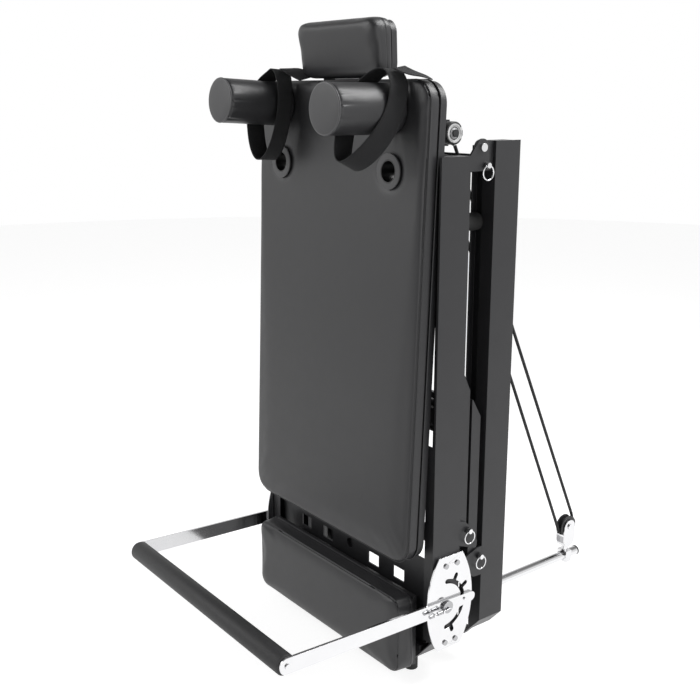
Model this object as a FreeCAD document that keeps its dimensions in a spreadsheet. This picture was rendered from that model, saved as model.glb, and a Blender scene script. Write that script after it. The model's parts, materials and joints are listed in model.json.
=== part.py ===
import FreeCAD, Part

import math
import os
import re
import Sketcher
from types import SimpleNamespace

# Folding pilates reformer, folded in half and stood on its foot end.
#
# Millimetres.  +Z up.  The face of the carriage pad looks along -Y, and +X is the side with
# the right-hand leg.  The foot half stands in front, the head half hangs behind it from the
# fold hinge at the top.  Every carriage piece is drawn level, parallel to the rails, and then
# leaned back with the rest about the foot axle, because the head wheels of the parked
# carriage have run past the end of the folded rails.
#
# The drawing places right-hand pieces; left-hand ones are their mirror images.

doc = FreeCAD.newDocument("pilates_reformer")
dims = doc.addObject("Spreadsheet::Sheet", "Dims")

SIZES = (
    # side rails of both halves
    ("half_width", "331", "outer face of a side rail from the middle"),
    ("fence_wall", "6", "outer fence of a rail"),
    ("box_wide", "38", "box of a rail, fence included"),
    ("box_deep", "58", "box of a rail, from its underside"),
    ("rail_wall", "3", "wall of the rail box"),
    ("flange_wide", "29", "front flange of a foot rail, fence included"),
    ("flange_high", "600", "top of the front flange, clear of the leaning pad"),
    ("track_wide", "35", "ledge that carries the wheels, inside the box"),
    ("ledge_drop", "14", "ledge above the underside of the rail"),
    ("ledge_thick", "5", "ledge plate"),
    ("ledge_start", "12", "head ledge short of the hinge end, clear of the rising wheels"),
    ("lip_wall", "4", "lip under the inner edge of the ledge"),
    ("access_radius", "7", "holes through which the nuts in a rail are reached"),
    ("foot_deep", "84", "depth of the foot half"),
    ("head_deep", "76.5", "depth of the head half"),
    ("foot_back", "-11", "underside of the foot half, as a Y"),
    ("fold_gap", "74", "gap between the two undersides when folded"),
    ("foot_low", "51", "foot end above the floor"),
    ("head_low", "58", "head end above the floor, folded"),
    ("chamfer_wide", "55", "cut corner of a rail end, across"),
    ("chamfer_tall", "62", "cut corner of a rail end, along"),
    ("tube_tall", "40", "end tube of the foot half, along the rails"),
    ("head_tube_tall", "23", "end tube of the head half, along the rails"),
    ("head_tube_deep", "14", "end tube of the head half, from its underside"),
    ("bar_tall", "40", "flat cross bar, along the rails"),
    ("bar_thick", "12", "flat cross bar, its thickness"),
    ("guide_half", "9", "half the width of a rope guide"),
    # fold hinge
    ("hinge_rise", "17", "hinge axis above the end of the foot half"),
    ("hinge_wall", "5.5", "hinge plate"),
    ("hinge_gap", "0.5", "washer gap between hinge plate and lug"),
    ("lug_wall", "6.2", "hinge lug of the head half"),
    ("plate_round", "18.5", "hinge plate round the axis"),
    ("lug_round", "16", "hinge lug round the axis"),
    ("hinge_drop", "50", "hinge plate and lug below the axis"),
    ("bolt_radius", "5", "hinge bolt"),
    ("bolt_head", "9", "head of a hinge bolt"),
    ("bolt_rise", "5", "head of a hinge bolt, along its axis"),
    ("running_fit", "0.05", "radial clearance of a running fit"),
    ("soft_gap", "0.3", "clearance of soft parts and of wheels"),
    # ring pull pins
    ("pin_radius", "4", "ring pull pin"),
    ("bush_radius", "7.5", "bush that a ring pull pin slides in"),
    ("bush_long", "5", "bush outside its plate"),
    ("knob_radius", "6", "head of a ring pull pin"),
    ("knob_long", "7", "head of a ring pull pin, along its axis"),
    ("ring_radius", "15.5", "pull ring, to the middle of its wire"),
    ("ring_wire", "1.6", "radius of the pull ring's wire"),
    # folding legs
    ("leg_wide", "30", "leg tube across"),
    ("leg_wall", "2.5", "wall of a leg tube"),
    ("foot_leg_y", "1.5", "middle of a foot leg, as a Y"),
    ("foot_leg_deep", "23", "depth of a foot leg"),
    ("foot_leg_z", "361", "pivot of the foot legs"),
    ("foot_leg_tip", "759", "tip of the foot legs"),
    ("head_leg_y", "35", "middle of a head leg, as a Y"),
    ("head_leg_deep", "28", "depth of a head leg"),
    ("head_leg_z", "284", "pivot of the head legs"),
    ("head_leg_tip", "691", "tip of the head legs"),
    ("tip_cut", "44", "height of the slanting cut at a leg's tip"),
    ("tie_radius", "10", "tie tube between a pair of legs"),
    ("tie_up", "300", "tie tube above the leg pivot"),
    ("leg_stud", "6", "pivot stud of a leg"),
    # carriage wheels, axles and rollers
    ("wheel_radius", "24.7", "carriage wheel over its tyre"),
    ("wheel_wide", "20", "carriage wheel across"),
    ("axle_radius", "8", "foot axle between its wheels"),
    ("stub_radius", "5", "axle inside a wheel"),
    ("nut_radius", "8", "nut that holds a wheel on"),
    ("nut_long", "4.5", "nut that holds a wheel on, along its axis"),
    ("foot_axle_z", "369", "foot axle above the floor"),
    ("lean", "2.38", "lean of the parked carriage, in degrees"),
    ("bracket_wall", "5", "wheel bracket plate"),
    ("roller_radius", "7", "guide roller"),
    # carriage frame and pad
    ("pad_off", "112.2", "face of the pad in front of the axles"),
    ("pad_low", "315", "foot edge of the carriage pad"),
    ("pad_long", "1079", "length of the carriage pad"),
    ("pad_thick", "41", "carriage cushion"),
    ("back_thick", "18", "padded board behind the cushion"),
    ("back_inset", "2", "board inside the outline of the cushion"),
    ("pad_corner", "50", "corner radius of the pad"),
    ("pad_round", "11", "rounding of the cushion's front edge"),
    ("frame_thick", "12", "depth of the carriage frame tubes"),
    ("frame_tall", "40", "height of the carriage frame cross tubes"),
    ("flange_radius", "39", "flange of a socket"),
    ("flange_thick", "4", "flange of a socket, in front of the pad"),
    ("sleeve_radius", "25", "sleeve of a socket"),
    ("socket_bore", "22.5", "bore of a socket"),
    ("rest_radius", "54", "shoulder rest"),
    ("rest_long", "181", "shoulder rest in front of the pad"),
    ("rest_round", "7", "rounding of a shoulder rest's ends"),
    ("post_radius", "14", "post inside a shoulder rest"),
    ("post_long", "150", "post in front of the pad"),
    ("strap_wide", "48", "webbing of a hand strap"),
    ("strap_thick", "2.5", "webbing of a hand strap"),
    ("strap_off", "16", "hand strap in front of the pad"),
    ("strap_drop", "112", "lower bight of a hand strap below the rest's axis"),
    ("strap_round", "24", "lower bight of a hand strap"),
    # headrest
    ("head_half", "144", "half the width of the headrest"),
    ("head_tall", "118", "height of the headrest"),
    ("head_thick", "42", "headrest cushion"),
    ("head_board", "15", "padded board of the headrest"),
    ("head_corner", "28", "corner radius of the headrest"),
    ("head_round", "14", "rounding of the headrest's front edge"),
    ("head_tip", "4.8", "headrest tipped forward of the pad, in degrees"),
    ("knuckle_radius", "3", "knuckle of the headrest hinge"),
    ("leaf_pin", "1.5", "pin of the headrest hinge"),
    ("leaf_half", "90", "half the length of the headrest hinge"),
    ("leaf_split", "45", "half the length of its middle knuckle"),
    # springs
    ("spring_near", "48.5", "inner springs from the middle"),
    ("spring_far", "145", "outer springs from the middle"),
    ("spring_radius", "8.5", "spring over its coils"),
    ("spring_wire", "2.2", "wire of a spring"),
    ("hook_post", "204", "hooks of the springs on the spring plate"),
    # platform and spring plate
    ("platform_low", "34", "lower edge of the platform pad"),
    ("platform_tall", "200", "height of the platform pad"),
    ("platform_thick", "58", "thickness of the platform pad"),
    ("platform_off", "9", "platform board in front of the foot half"),
    ("platform_corner", "30", "corner radius of the platform pad"),
    ("platform_round", "13", "rounding of the platform pad's front edge"),
    ("board_thick", "12", "platform board"),
    ("web_thick", "4", "spring plate"),
    ("web_high", "309", "upper edge of the spring plate"),
    ("web_step", "122", "spring plate full width from here up"),
    ("window_wide", "42", "window of the spring plate"),
    ("window_low", "219", "lower edge of the windows"),
    ("window_high", "251", "upper edge of the windows"),
    ("window_near", "96", "inner windows from the middle"),
    ("window_far", "193", "outer windows from the middle"),
    ("hole_z", "244", "round hole of the spring plate"),
    ("hole_radius", "13", "round hole of the spring plate"),
    ("cup_deep", "9", "cup behind the round hole"),
    # rubber feet and bumpers
    ("rubber_radius", "16.5", "rubber foot"),
    ("front_foot_y", "-73", "front feet, as a Y"),
    ("rear_foot_y", "-5", "rear feet, as a Y"),
    ("tab_thick", "6", "tab over a rear foot"),
    ("bumper_radius", "20", "fold bumper"),
    # foot bar and its adjuster plates
    ("pivot_y", "-61", "foot bar pivot, as a Y"),
    ("pivot_z", "206.5", "foot bar pivot"),
    ("plate_gap", "3", "bosses between rail and adjuster plate"),
    ("plate_thick", "4", "adjuster plate"),
    ("plate_half", "119.5", "half the height of an adjuster plate"),
    ("plate_bulge", "71.5", "half the width of an adjuster plate at its middle"),
    ("plate_flat", "37", "half the width of an adjuster plate at its ends"),
    ("flange_drop", "15", "folded flange along the top of an adjuster plate"),
    ("slot_radius", "59", "arc slot of the plate, to its middle"),
    ("slot_half", "5.5", "half the width of the slot"),
    ("notch_reach", "76", "notches of the slot, to the middle of their tips"),
    ("boss_radius", "9", "boss under a plate bolt"),
    ("screw_radius", "4", "plate bolt"),
    ("screw_head", "6.5", "head of a plate bolt"),
    ("arm_thick", "6", "foot bar arm"),
    ("arm_gap", "0.5", "washer gap between plate and arm"),
    ("arm_half", "19", "half the height of a foot bar arm"),
    ("arm_long", "448", "foot bar arm from pivot to bar, along Y"),
    ("arm_rise", "13.5", "bar above the pivot"),
    ("tail_long", "80", "foot bar arm behind its pivot, to the middle of its tip"),
    ("tail_half", "12", "half the height of the arm's tip"),
    ("pivot_radius", "6", "pivot bolt of the foot bar"),
    ("pivot_head", "15", "head of the pivot bolt"),
    ("plunger_radius", "2.5", "plunger of the foot bar latch"),
    ("grip_radius", "24", "foam grip of the foot bar"),
    ("bar_radius", "13", "steel tube of the foot bar"),
    ("bar_wall", "2", "wall of the foot bar tube"),
    # risers, pulleys and ropes
    ("riser_z", "136", "riser tubes"),
    ("riser_radius", "12.5", "riser tube"),
    ("riser_wall", "2", "wall of a riser tube"),
    ("riser_start", "75", "inner end of the riser tubes, as a Y"),
    ("cap_long", "4", "end cap of a riser"),
    ("socket_half", "18", "half the side of a riser socket"),
    ("pulley_y", "481", "pulley, as a Y"),
    ("pulley_z", "223", "pulley"),
    ("pulley_radius", "29", "pulley wheel over its flanges"),
    ("pulley_wide", "20", "pulley wheel across"),
    ("groove_radius", "22.5", "middle of the rope round the pulley"),
    ("rope_radius", "4", "rope"),
    ("groove_flare", "2.7", "groove of a pulley wider at its mouth than at its floor, each side"),
    ("cheek_thick", "3", "cheek plate of a pulley"),
    ("cheek_gap", "1.5", "gap beside a pulley wheel"),
    ("cheek_half", "21", "half the width of a cheek plate"),
    ("cheek_low", "165", "lower end of a cheek plate"),
    ("cheek_high", "242", "upper end of a cheek plate"),
    ("clamp_half", "11", "half the length of the pulley clamp"),
    # sizes that follow from those above
    ("hinge_x", "=half_width - 7.8", "inner face of a hinge plate from the middle"),
    ("leg_out", "=half_width - 5", "outer face of a leg from the middle"),
    ("bracket_in", "=half_width - 4.5", "inner face of a leg bracket from the middle"),
    ("wheel_x", "=half_width - 56", "middle of a carriage wheel"),
    ("bracket_x", "=half_width - 81", "inner face of a wheel bracket from the middle"),
    ("roller_x", "=half_width - 80.4", "guide roller from the middle"),
    ("pad_half", "=half_width - 16", "half the width of the carriage pad"),
    ("frame_x", "=bracket_x - 20", "inner face of a carriage side tube"),
    ("socket_x", "=pad_half - 109", "sockets and shoulder rests from the middle"),
    ("spring_low", "=hook_post + 18", "lower end of the coils"),
    ("hook_tab", "=foot_axle_z - 13", "lower edge of the spring tabs on the axle"),
    ("spring_high", "=hook_tab - 16", "upper end of the coils"),
    ("platform_half", "=half_width - 33", "half the width of the platform pad"),
    ("front_foot_x", "=half_width - 94", "front feet from the middle"),
    ("rear_foot_x", "=half_width - 153", "rear feet from the middle"),
    ("plate_y", "=pivot_y + 17", "middle of an adjuster plate, as a Y"),
    ("plate_z", "=pivot_z + 3", "middle of an adjuster plate"),
    ("riser_x", "=half_width - 91", "risers and ropes from the middle"),
    ("riser_end", "=pulley_y + 43", "outer end of the riser tubes, as a Y"),
    ("rope_guide_y", "=foot_back - bar_thick / 2 + 1", "front strand of a rope at its guide, as a Y"),
    ("fence_in", "=half_width - fence_wall", "inner face of a fence"),
    ("box_in", "=half_width - box_wide", "inner face of a rail box"),
    ("track_in", "=box_in - track_wide", "inner edge of a ledge"),
    ("bumper_x", "=(track_in + box_in) / 2 + 3", "fold bumpers from the middle"),
    ("foot_box", "=foot_back - box_deep", "face of the foot rail box, as a Y"),
    ("foot_ledge", "=foot_back - ledge_drop", "rear of the foot ledge, as a Y"),
    ("foot_track", "=foot_ledge - ledge_thick", "running face of the foot ledge, as a Y"),
    ("foot_face", "=foot_back - foot_deep", "front edge of the foot half, as a Y"),
    ("platform_face", "=foot_face - platform_off - board_thick - platform_thick",
     "face of the platform pad, as a Y"),
    ("head_back", "=foot_back + fold_gap", "underside of the head half, as a Y"),
    ("head_box", "=head_back + box_deep", "face of the head rail box, as a Y"),
    ("head_ledge", "=head_back + ledge_drop", "front of the head ledge, as a Y"),
    ("head_track", "=head_ledge + ledge_thick", "running face of the head ledge, as a Y"),
    ("head_face", "=head_back + head_deep", "rear edge of the head half, as a Y"),
    ("hinge_y", "=foot_back + fold_gap / 2", "fold axis, as a Y"),
    ("rope_hinge_y", "=hinge_y + 0.8", "rear strand of a rope at the fold axis, as a Y"),
    ("hinge_out", "=hinge_x + hinge_wall", "outer face of a hinge plate"),
    ("lug_out", "=hinge_x - hinge_gap", "outer face of a hinge lug"),
    ("lug_in", "=lug_out - lug_wall", "inner face of a hinge lug"),
    ("axle_y", "=foot_track - soft_gap - wheel_radius", "axles, as a Y, level"),
    ("roller_start", "=axle_y + 12.5", "front end of a guide roller, as a Y"),
    ("roller_end", "=axle_y + 29", "rear end of a guide roller, as a Y"),
    ("rope_pin_y", "=axle_y + 16.5", "pin that takes the rope on a wheel bracket, as a Y"),
    ("spring_y", "=axle_y - 11", "springs, as a Y"),
    ("web_face", "=axle_y - 25", "face of the spring plate, as a Y"),
    ("wheel_in", "=wheel_x - wheel_wide / 2", "inner face of a wheel"),
    ("wheel_out", "=wheel_x + wheel_wide / 2", "outer face of a wheel"),
    ("bracket_edge", "=bracket_x + bracket_wall", "outer face of a wheel bracket"),
    ("pad_face", "=axle_y - pad_off", "face of the carriage pad, as a Y"),
    ("head_y", "=pad_face + 8.3", "face of the headrest at its lower edge, drawn level"),
    ("pad_seam", "=pad_face + pad_thick", "back of the carriage cushion, as a Y"),
    ("leaf_y", "=pad_seam - 2.8", "axis of the headrest hinge, as a Y"),
    ("pad_back", "=pad_seam + back_thick", "back of the padded board, as a Y"),
    ("frame_back", "=pad_back + frame_thick", "back of the carriage frame, as a Y"),
    ("pad_high", "=pad_low + pad_long", "head edge of the carriage pad"),
    ("foot_high", "=pad_high - 155", "hinge end of the foot half"),
    ("head_high", "=foot_high + 30", "hinge end of the head half"),
    ("foot_bar_z", "=foot_high - 50", "upper cross bar of the foot half"),
    ("middle_bar_z", "=(foot_low + foot_high) / 2 - 6", "middle cross bar of either half"),
    ("head_bar_z", "=head_high - 52", "upper cross bar of the head half"),
    ("guide_top", "=foot_high - 3", "rope guide on the upper cross bar of the foot half"),
    ("head_axle_z", "=pad_high - 108", "head axle, drawn level"),
    ("roller_z", "=head_axle_z - 2", "guide roller, drawn level"),
    ("rope_pin_z", "=head_axle_z - 14.5", "pin that takes the rope, drawn level"),
    ("rest_z", "=pad_high - 58", "shoulder rests, drawn level"),
    ("socket_z", "=rest_z - 135", "spare sockets, drawn level"),
    ("head_z", "=pad_high + 5.6", "lower edge of the headrest, drawn level"),
    ("leaf_z", "=pad_high + 3.8", "axis of the headrest hinge, drawn level"),
    ("bumper_z", "=foot_high - 148", "fold bumpers"),
    ("hinge_z", "=foot_high + hinge_rise", "fold axis"),
    ("back_half", "=pad_half - back_inset", "half the width of the padded board"),
    ("back_low", "=pad_low + back_inset", "foot edge of the padded board"),
    ("back_long", "=pad_long - 2 * back_inset", "length of the padded board"),
    ("back_high", "=pad_high - back_inset", "head edge of the padded board"),
    ("head_seam", "=head_y + head_thick", "back of the headrest cushion, as a Y, before tipping"),
    ("leaf_top", "=leaf_z + knuckle_radius", "upper face of the headrest's hinge leaf"),
    ("platform_seam", "=platform_face + platform_thick", "back of the platform pad, as a Y"),
    ("board_back", "=platform_seam + board_thick", "back of the platform board, as a Y"),
    ("web_back", "=web_face + web_thick", "back of the spring plate, as a Y"),
    ("plate_in", "=half_width + plate_gap", "inner face of an adjuster plate"),
    ("plate_out", "=plate_in + plate_thick", "outer face of an adjuster plate"),
    ("arm_in", "=plate_out + arm_gap", "inner face of a foot bar arm"),
    ("arm_out", "=arm_in + arm_thick", "outer face of a foot bar arm"),
    ("plunger_x", "=arm_out + arm_gap + 10", "plunger of the foot bar latch from the middle"),
    ("plunger_z", "=pivot_z - 3", "plunger of the foot bar latch"),
    ("bar_y", "=pivot_y - arm_long", "middle of the foot bar, as a Y"),
    ("bar_z", "=pivot_z + arm_rise", "middle of the foot bar"),
    ("leg_in", "=leg_out - leg_wide", "inner face of a leg"),
    ("knob_start", "=bush_long + soft_gap", "knob of a ring pull pin outside its plate"),
    ("cheek_in", "=riser_x - pulley_wide / 2 - cheek_gap", "inner cheek's face beside the wheel"),
    ("cheek_out", "=riser_x + pulley_wide / 2 + cheek_gap", "outer cheek's face beside the wheel"),
)
for row, (alias, value, meaning) in enumerate(SIZES, start=1):
    dims.set(f"A{row}", meaning)
    dims.set(f"B{row}", value)
    dims.setAlias(f"B{row}", alias)
doc.recompute()
at = SimpleNamespace(**{alias: float(dims.get(alias)) for alias, value, meaning in SIZES})


def bound(text):
    """An expression in the sheet's words, each with the sheet's name put in front."""
    return re.sub(r"[a-z][a-z_]*", lambda word: f"Dims.{word.group(0)}", str(text))


# ---- ways of making a piece --------------------------------------------------------------------
TURNS = {
    "x": FreeCAD.Rotation(FreeCAD.Vector(0, 1, 0), 90),
    "y": FreeCAD.Rotation(FreeCAD.Vector(1, 0, 0), -90),
    "z": FreeCAD.Rotation(),
}


def box(name, across, deep, tall):
    """A box between two expressions on each axis."""
    solid = doc.addObject("Part::Box", name)
    rows = (("x", "Length", across), ("y", "Width", deep), ("z", "Height", tall))
    for axis, side, (low, high) in rows:
        solid.setExpression(f"Placement.Base.{axis}", bound(low))
        solid.setExpression(side, bound(f"({high}) - ({low})"))
    return solid


def rod(name, axis, across, deep, tall, radius):
    """A cylinder: the value along its axis is a pair of ends, the other two its centre."""
    solid = doc.addObject("Part::Cylinder", name)
    solid.Placement = FreeCAD.Placement(FreeCAD.Vector(), TURNS[axis])
    solid.setExpression("Radius", bound(radius))
    for letter, place in (("x", across), ("y", deep), ("z", tall)):
        if letter == axis:
            low, high = place
            solid.setExpression("Height", bound(f"({high}) - ({low})"))
            place = low
        solid.setExpression(f"Placement.Base.{letter}", bound(place))
    return solid


def fuse(name, *pieces):
    joined = doc.addObject("Part::MultiFuse", name)
    joined.Shapes = list(pieces)
    joined.Refine = True
    return joined


def cut(name, base, *tools):
    left = doc.addObject("Part::Cut", name)
    left.Base = base
    left.Tool = tools[0] if len(tools) == 1 else fuse(name + "_tools", *tools)
    left.Refine = True
    return left


def group(name, *pieces):
    """Separate solids that share one node."""
    several = doc.addObject("Part::Compound", name)
    several.Links = list(pieces)
    return several


def mirror(name, source):
    other = doc.addObject("Part::Mirroring", name)
    other.Source = source
    other.Normal = FreeCAD.Vector(1, 0, 0)
    return other


def pair(name, *sources):
    """Right-hand pieces and their mirror images, as separate solids of one node."""
    others = [mirror(f"{name}_left_{number}", piece) for number, piece in enumerate(sources)]
    return group(name, *sources, *others)


def shaped(name, shape):
    """A piece whose outline has tangents or a path, worked out from the sheet's sizes."""
    feature = doc.addObject("Part::Feature", name)
    feature.Shape = shape
    return feature


def at_yz(y, z):
    return FreeCAD.Vector(0, y, z)


def hull(circles):
    """The face in the YZ plane round circles (y, z, radius), named counterclockwise."""
    count = len(circles)
    normals = []
    for number, (y, z, radius) in enumerate(circles):
        next_y, next_z, next_radius = circles[(number + 1) % count]
        reach = math.hypot(next_y - y, next_z - z)
        along = at_yz((next_y - y) / reach, (next_z - z) / reach)
        outward = at_yz(along.z, -along.y)
        lean_in = (radius - next_radius) / reach
        normals.append(along * lean_in + outward * math.sqrt(1 - lean_in ** 2))
    edges = []
    for number, (y, z, radius) in enumerate(circles):
        centre = at_yz(y, z)
        arriving = normals[number - 1]
        leaving = normals[number]
        if radius > 0:
            start_turn = math.atan2(arriving.z, arriving.y)
            swing = (math.atan2(leaving.z, leaving.y) - start_turn) % (2 * math.pi)
            middle = at_yz(math.cos(start_turn + swing / 2), math.sin(start_turn + swing / 2))
            edges.append(Part.Arc(centre + arriving * radius, centre + middle * radius,
                                  centre + leaving * radius).toShape())
        next_y, next_z, next_radius = circles[(number + 1) % count]
        start = centre + leaving * radius
        end = at_yz(next_y, next_z) + leaving * next_radius
        edges.append(Part.LineSegment(start, end).toShape())
    return Part.Face(Part.Wire(edges))


def plate(name, circles, low, high):
    """A hull outline made into a plate from one X to another."""
    face = hull(circles)
    face.translate(FreeCAD.Vector(low, 0, 0))
    return shaped(name, face.extrude(FreeCAD.Vector(high - low, 0, 0)))


def plane(body, role):
    return next(item for item in body.Origin.OriginFeatures if item.Role == role)


def drawn(body, name, role):
    """An empty sketch on one of the body's own planes."""
    sketch = body.newObject("Sketcher::SketchObject", name)
    sketch.AttachmentSupport = [(plane(body, role), "")]
    sketch.MapMode = "FlatFace"
    return sketch


def slab(name, half, low, tall, front, thick, corner, rounding):
    """An upholstered slab: a rounded rectangle in XZ, padded along Y, its front edge round."""
    body = doc.addObject("PartDesign::Body", name)
    sketch = drawn(body, name + "_outline", "XZ_Plane")
    side = getattr(at, half)
    base = getattr(at, low)
    top = base + getattr(at, tall)
    corners = [FreeCAD.Vector(x, z, 0)
               for x, z in ((-side, base), (side, base), (side, top), (-side, top))]
    for number in range(4):
        sketch.addGeometry(Part.LineSegment(corners[number], corners[(number + 1) % 4]), False)
    for number in range(4):
        sketch.addConstraint(Sketcher.Constraint("Coincident", number, 2, (number + 1) % 4, 1))
    sketch.addConstraint(Sketcher.Constraint("Horizontal", 2))
    sketch.addConstraint(Sketcher.Constraint("Vertical", 1))
    sketch.addConstraint(Sketcher.Constraint("Vertical", 3))
    sketch.addConstraint(Sketcher.Constraint("Symmetric", 0, 1, 0, 2, -2))
    wide = sketch.addConstraint(Sketcher.Constraint("Distance", 0, 2 * side))
    high = sketch.addConstraint(Sketcher.Constraint("Distance", 1, top - base))
    rise = sketch.addConstraint(Sketcher.Constraint("DistanceY", -1, 1, 0, 1, base))
    for index, word in ((wide, "wide"), (high, "high"), (rise, "rise")):
        sketch.renameConstraint(index, word)
    sketch.setExpression("Constraints.wide", bound(f"2 * ({half})"))
    sketch.setExpression("Constraints.high", bound(tall))
    sketch.setExpression("Constraints.rise", bound(low))
    pad = body.newObject("PartDesign::Pad", name + "_pad")
    pad.Profile = sketch
    pad.setExpression("Length", bound(thick))
    body.setExpression("Placement.Base.y", bound(f"({front}) + ({thick})"))
    doc.recompute()
    upright = []
    for number, edge in enumerate(pad.Shape.Edges, start=1):
        along = edge.Vertexes[1].Point - edge.Vertexes[0].Point
        if abs(along.x) < 1e-6 and abs(along.z) < 1e-6:
            upright.append(f"Edge{number}")
    corners_cut = body.newObject("PartDesign::Fillet", name + "_corners")
    corners_cut.Base = (pad, upright)
    corners_cut.setExpression("Radius", bound(corner))
    doc.recompute()
    if rounding is None:
        return body
    nearest = min(vertex.Y for vertex in corners_cut.Shape.Vertexes)
    rim = []
    for number, edge in enumerate(corners_cut.Shape.Edges, start=1):
        if all(abs(vertex.Y - nearest) < 1e-6 for vertex in edge.Vertexes):
            rim.append(f"Edge{number}")
    soft_edge = body.newObject("PartDesign::Fillet", name + "_rim")
    soft_edge.Base = (corners_cut, rim)
    soft_edge.setExpression("Radius", bound(rounding))
    return body


def turned(name, profile):
    """A body of revolution about X: the profile is a closed list of (x, radius)."""
    body = doc.addObject("PartDesign::Body", name)
    sketch = drawn(body, name + "_profile", "XZ_Plane")
    points = [FreeCAD.Vector(x, radius, 0) for x, radius in profile]
    for number, point in enumerate(points):
        sketch.addGeometry(Part.LineSegment(point, points[(number + 1) % len(points)]), False)
    spun = body.newObject("PartDesign::Revolution", name + "_turned")
    spun.Profile = sketch
    spun.ReferenceAxis = (sketch, ["H_Axis"])
    spun.Angle = 360
    return body


def swept(edges, radius):
    """A round bar along straight runs and arcs, given as edges in order."""
    start = edges[0]
    first = start.FirstParameter
    circle = Part.Wire(Part.makeCircle(radius, start.valueAt(first), start.tangentAt(first)))
    return Part.Wire(edges).makePipe(Part.Face(circle))


NODES = {}


def node(name, piece):
    """Gives a finished sub-part its name and keeps it for export."""
    piece.Label = name
    NODES[name] = piece
    return piece


def tilt(y, z, degrees):
    """A turn about the X direction through a point of the YZ plane."""
    turn = FreeCAD.Rotation(FreeCAD.Vector(1, 0, 0), degrees)
    return FreeCAD.Placement(FreeCAD.Vector(), turn, at_yz(y, z))


def tilted(name, piece, placement):
    carrier = group(name, piece)
    carrier.Placement = placement
    return carrier


LEAN = tilt(at.axle_y, at.foot_axle_z, -at.lean)


def leaned(name, piece):
    """A finished carriage piece, leaned back about the foot axle."""
    return node(name, tilted(name + "_leaned", piece, LEAN))


# ---- foot half: rails, end tube, cross bars ----------------------------------------------------
SLANT = math.degrees(math.atan2(at.chamfer_tall, at.chamfer_wide))
SINE = math.sin(math.radians(SLANT))
COSINE = math.cos(math.radians(SLANT))


def corner_cutter(name, low, deep, wall):
    """A tilted block that cuts the slanting corner of a rail end, shifted in by a wall."""
    block = doc.addObject("Part::Box", name)
    reach = 150
    sink = 90
    block.Placement.Rotation = FreeCAD.Rotation(FreeCAD.Vector(0, 1, 0), -SLANT)
    block.setExpression("Length", f"{2 * reach}")
    block.setExpression("Width", bound(f"({deep[1]}) - ({deep[0]}) + 2"))
    block.setExpression("Height", f"{sink}")
    back = reach * COSINE - sink * SINE
    down = reach * SINE + sink * COSINE
    block.setExpression("Placement.Base.x",
                        bound(f"half_width - chamfer_wide - ({wall}) * {SINE} - ({back})"))
    block.setExpression("Placement.Base.y", bound(f"({deep[0]}) - 1"))
    block.setExpression("Placement.Base.z", bound(f"({low}) + ({wall}) * {COSINE} - ({down})"))
    return block


def side_rail(name, low, high, full, tube, ledge, lip, ledge_high, holes):
    """A right-hand rail: fence, hollow box with a slanting closed end, ledge and lip."""
    long = (low, high)
    fence = box(name + "_fence", ("fence_in", "half_width"), full, long)
    case = box(name + "_case", ("box_in", "half_width"), tube, long)
    shelf = box(name + "_shelf", ("track_in", "box_in"), ledge, (f"{low} + tube_tall", ledge_high))
    edge = box(name + "_edge", ("track_in", "track_in + lip_wall"), lip,
               (f"{low} + tube_tall", ledge_high))
    floor = box(name + "_floor", ("box_in", "half_width"), full, (low, f"{low} + chamfer_tall + 8"))
    inside = box(name + "_inside", ("box_in", "fence_in"), full,
                 (low, f"{low} + chamfer_tall + 9"))
    wall_line = corner_cutter(name + "_wall_line", low, full, "rail_wall")
    end_plate = cut(name + "_end", floor, cut(name + "_room", inside, wall_line))
    outside = fuse(name + "_outside", fence, case, shelf, edge, end_plate)
    trimmed = cut(name + "_trimmed", outside, corner_cutter(name + "_corner", low, full, "0"))
    hollow = box(name + "_hollow", ("box_in + rail_wall", "fence_in"),
                 (f"{tube[0]} + rail_wall", f"{tube[1]} - rail_wall"),
                 (f"{low} + rail_wall", f"{high} - rail_wall"))
    room = cut(name + "_void", hollow, corner_cutter(name + "_void_line", low, full, "rail_wall"))
    reach = [rod(f"{name}_access_{number}", "x", ("box_in - 1", "box_in + rail_wall + 1"), y, z,
                 "access_radius") for number, (y, z) in enumerate(holes)]
    return cut(name, trimmed, room, *reach)


def end_tube(name, low, full, tall):
    """The hollow tube that joins two rails at their closed ends, corners cut to match."""
    outside = box(name + "_outside", ("-box_in", "box_in"), full, (low, f"{low} + {tall}"))
    room = box(name + "_room", ("rail_wall - box_in", "box_in - rail_wall"),
               (f"{full[0]} + rail_wall", f"{full[1]} - rail_wall"),
               (f"{low} + rail_wall", f"{low} + {tall} - rail_wall"))
    corner = corner_cutter(name + "_corner", low, full, "0")
    inner = corner_cutter(name + "_inner", low, full, "rail_wall")
    void = cut(name + "_void", room, inner, mirror(name + "_inner_left", inner))
    drains = [rod(f"{name}_drain_{number}", "z", f"{side} * window_near",
                  f"({full[0]} + {full[1]}) / 2", (f"{low} - 1", f"{low} + rail_wall + 1"),
                  "screw_radius") for number, side in enumerate((-1, 1))]
    return cut(name, outside, corner, mirror(name + "_corner_left", corner), void, *drains)


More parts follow.
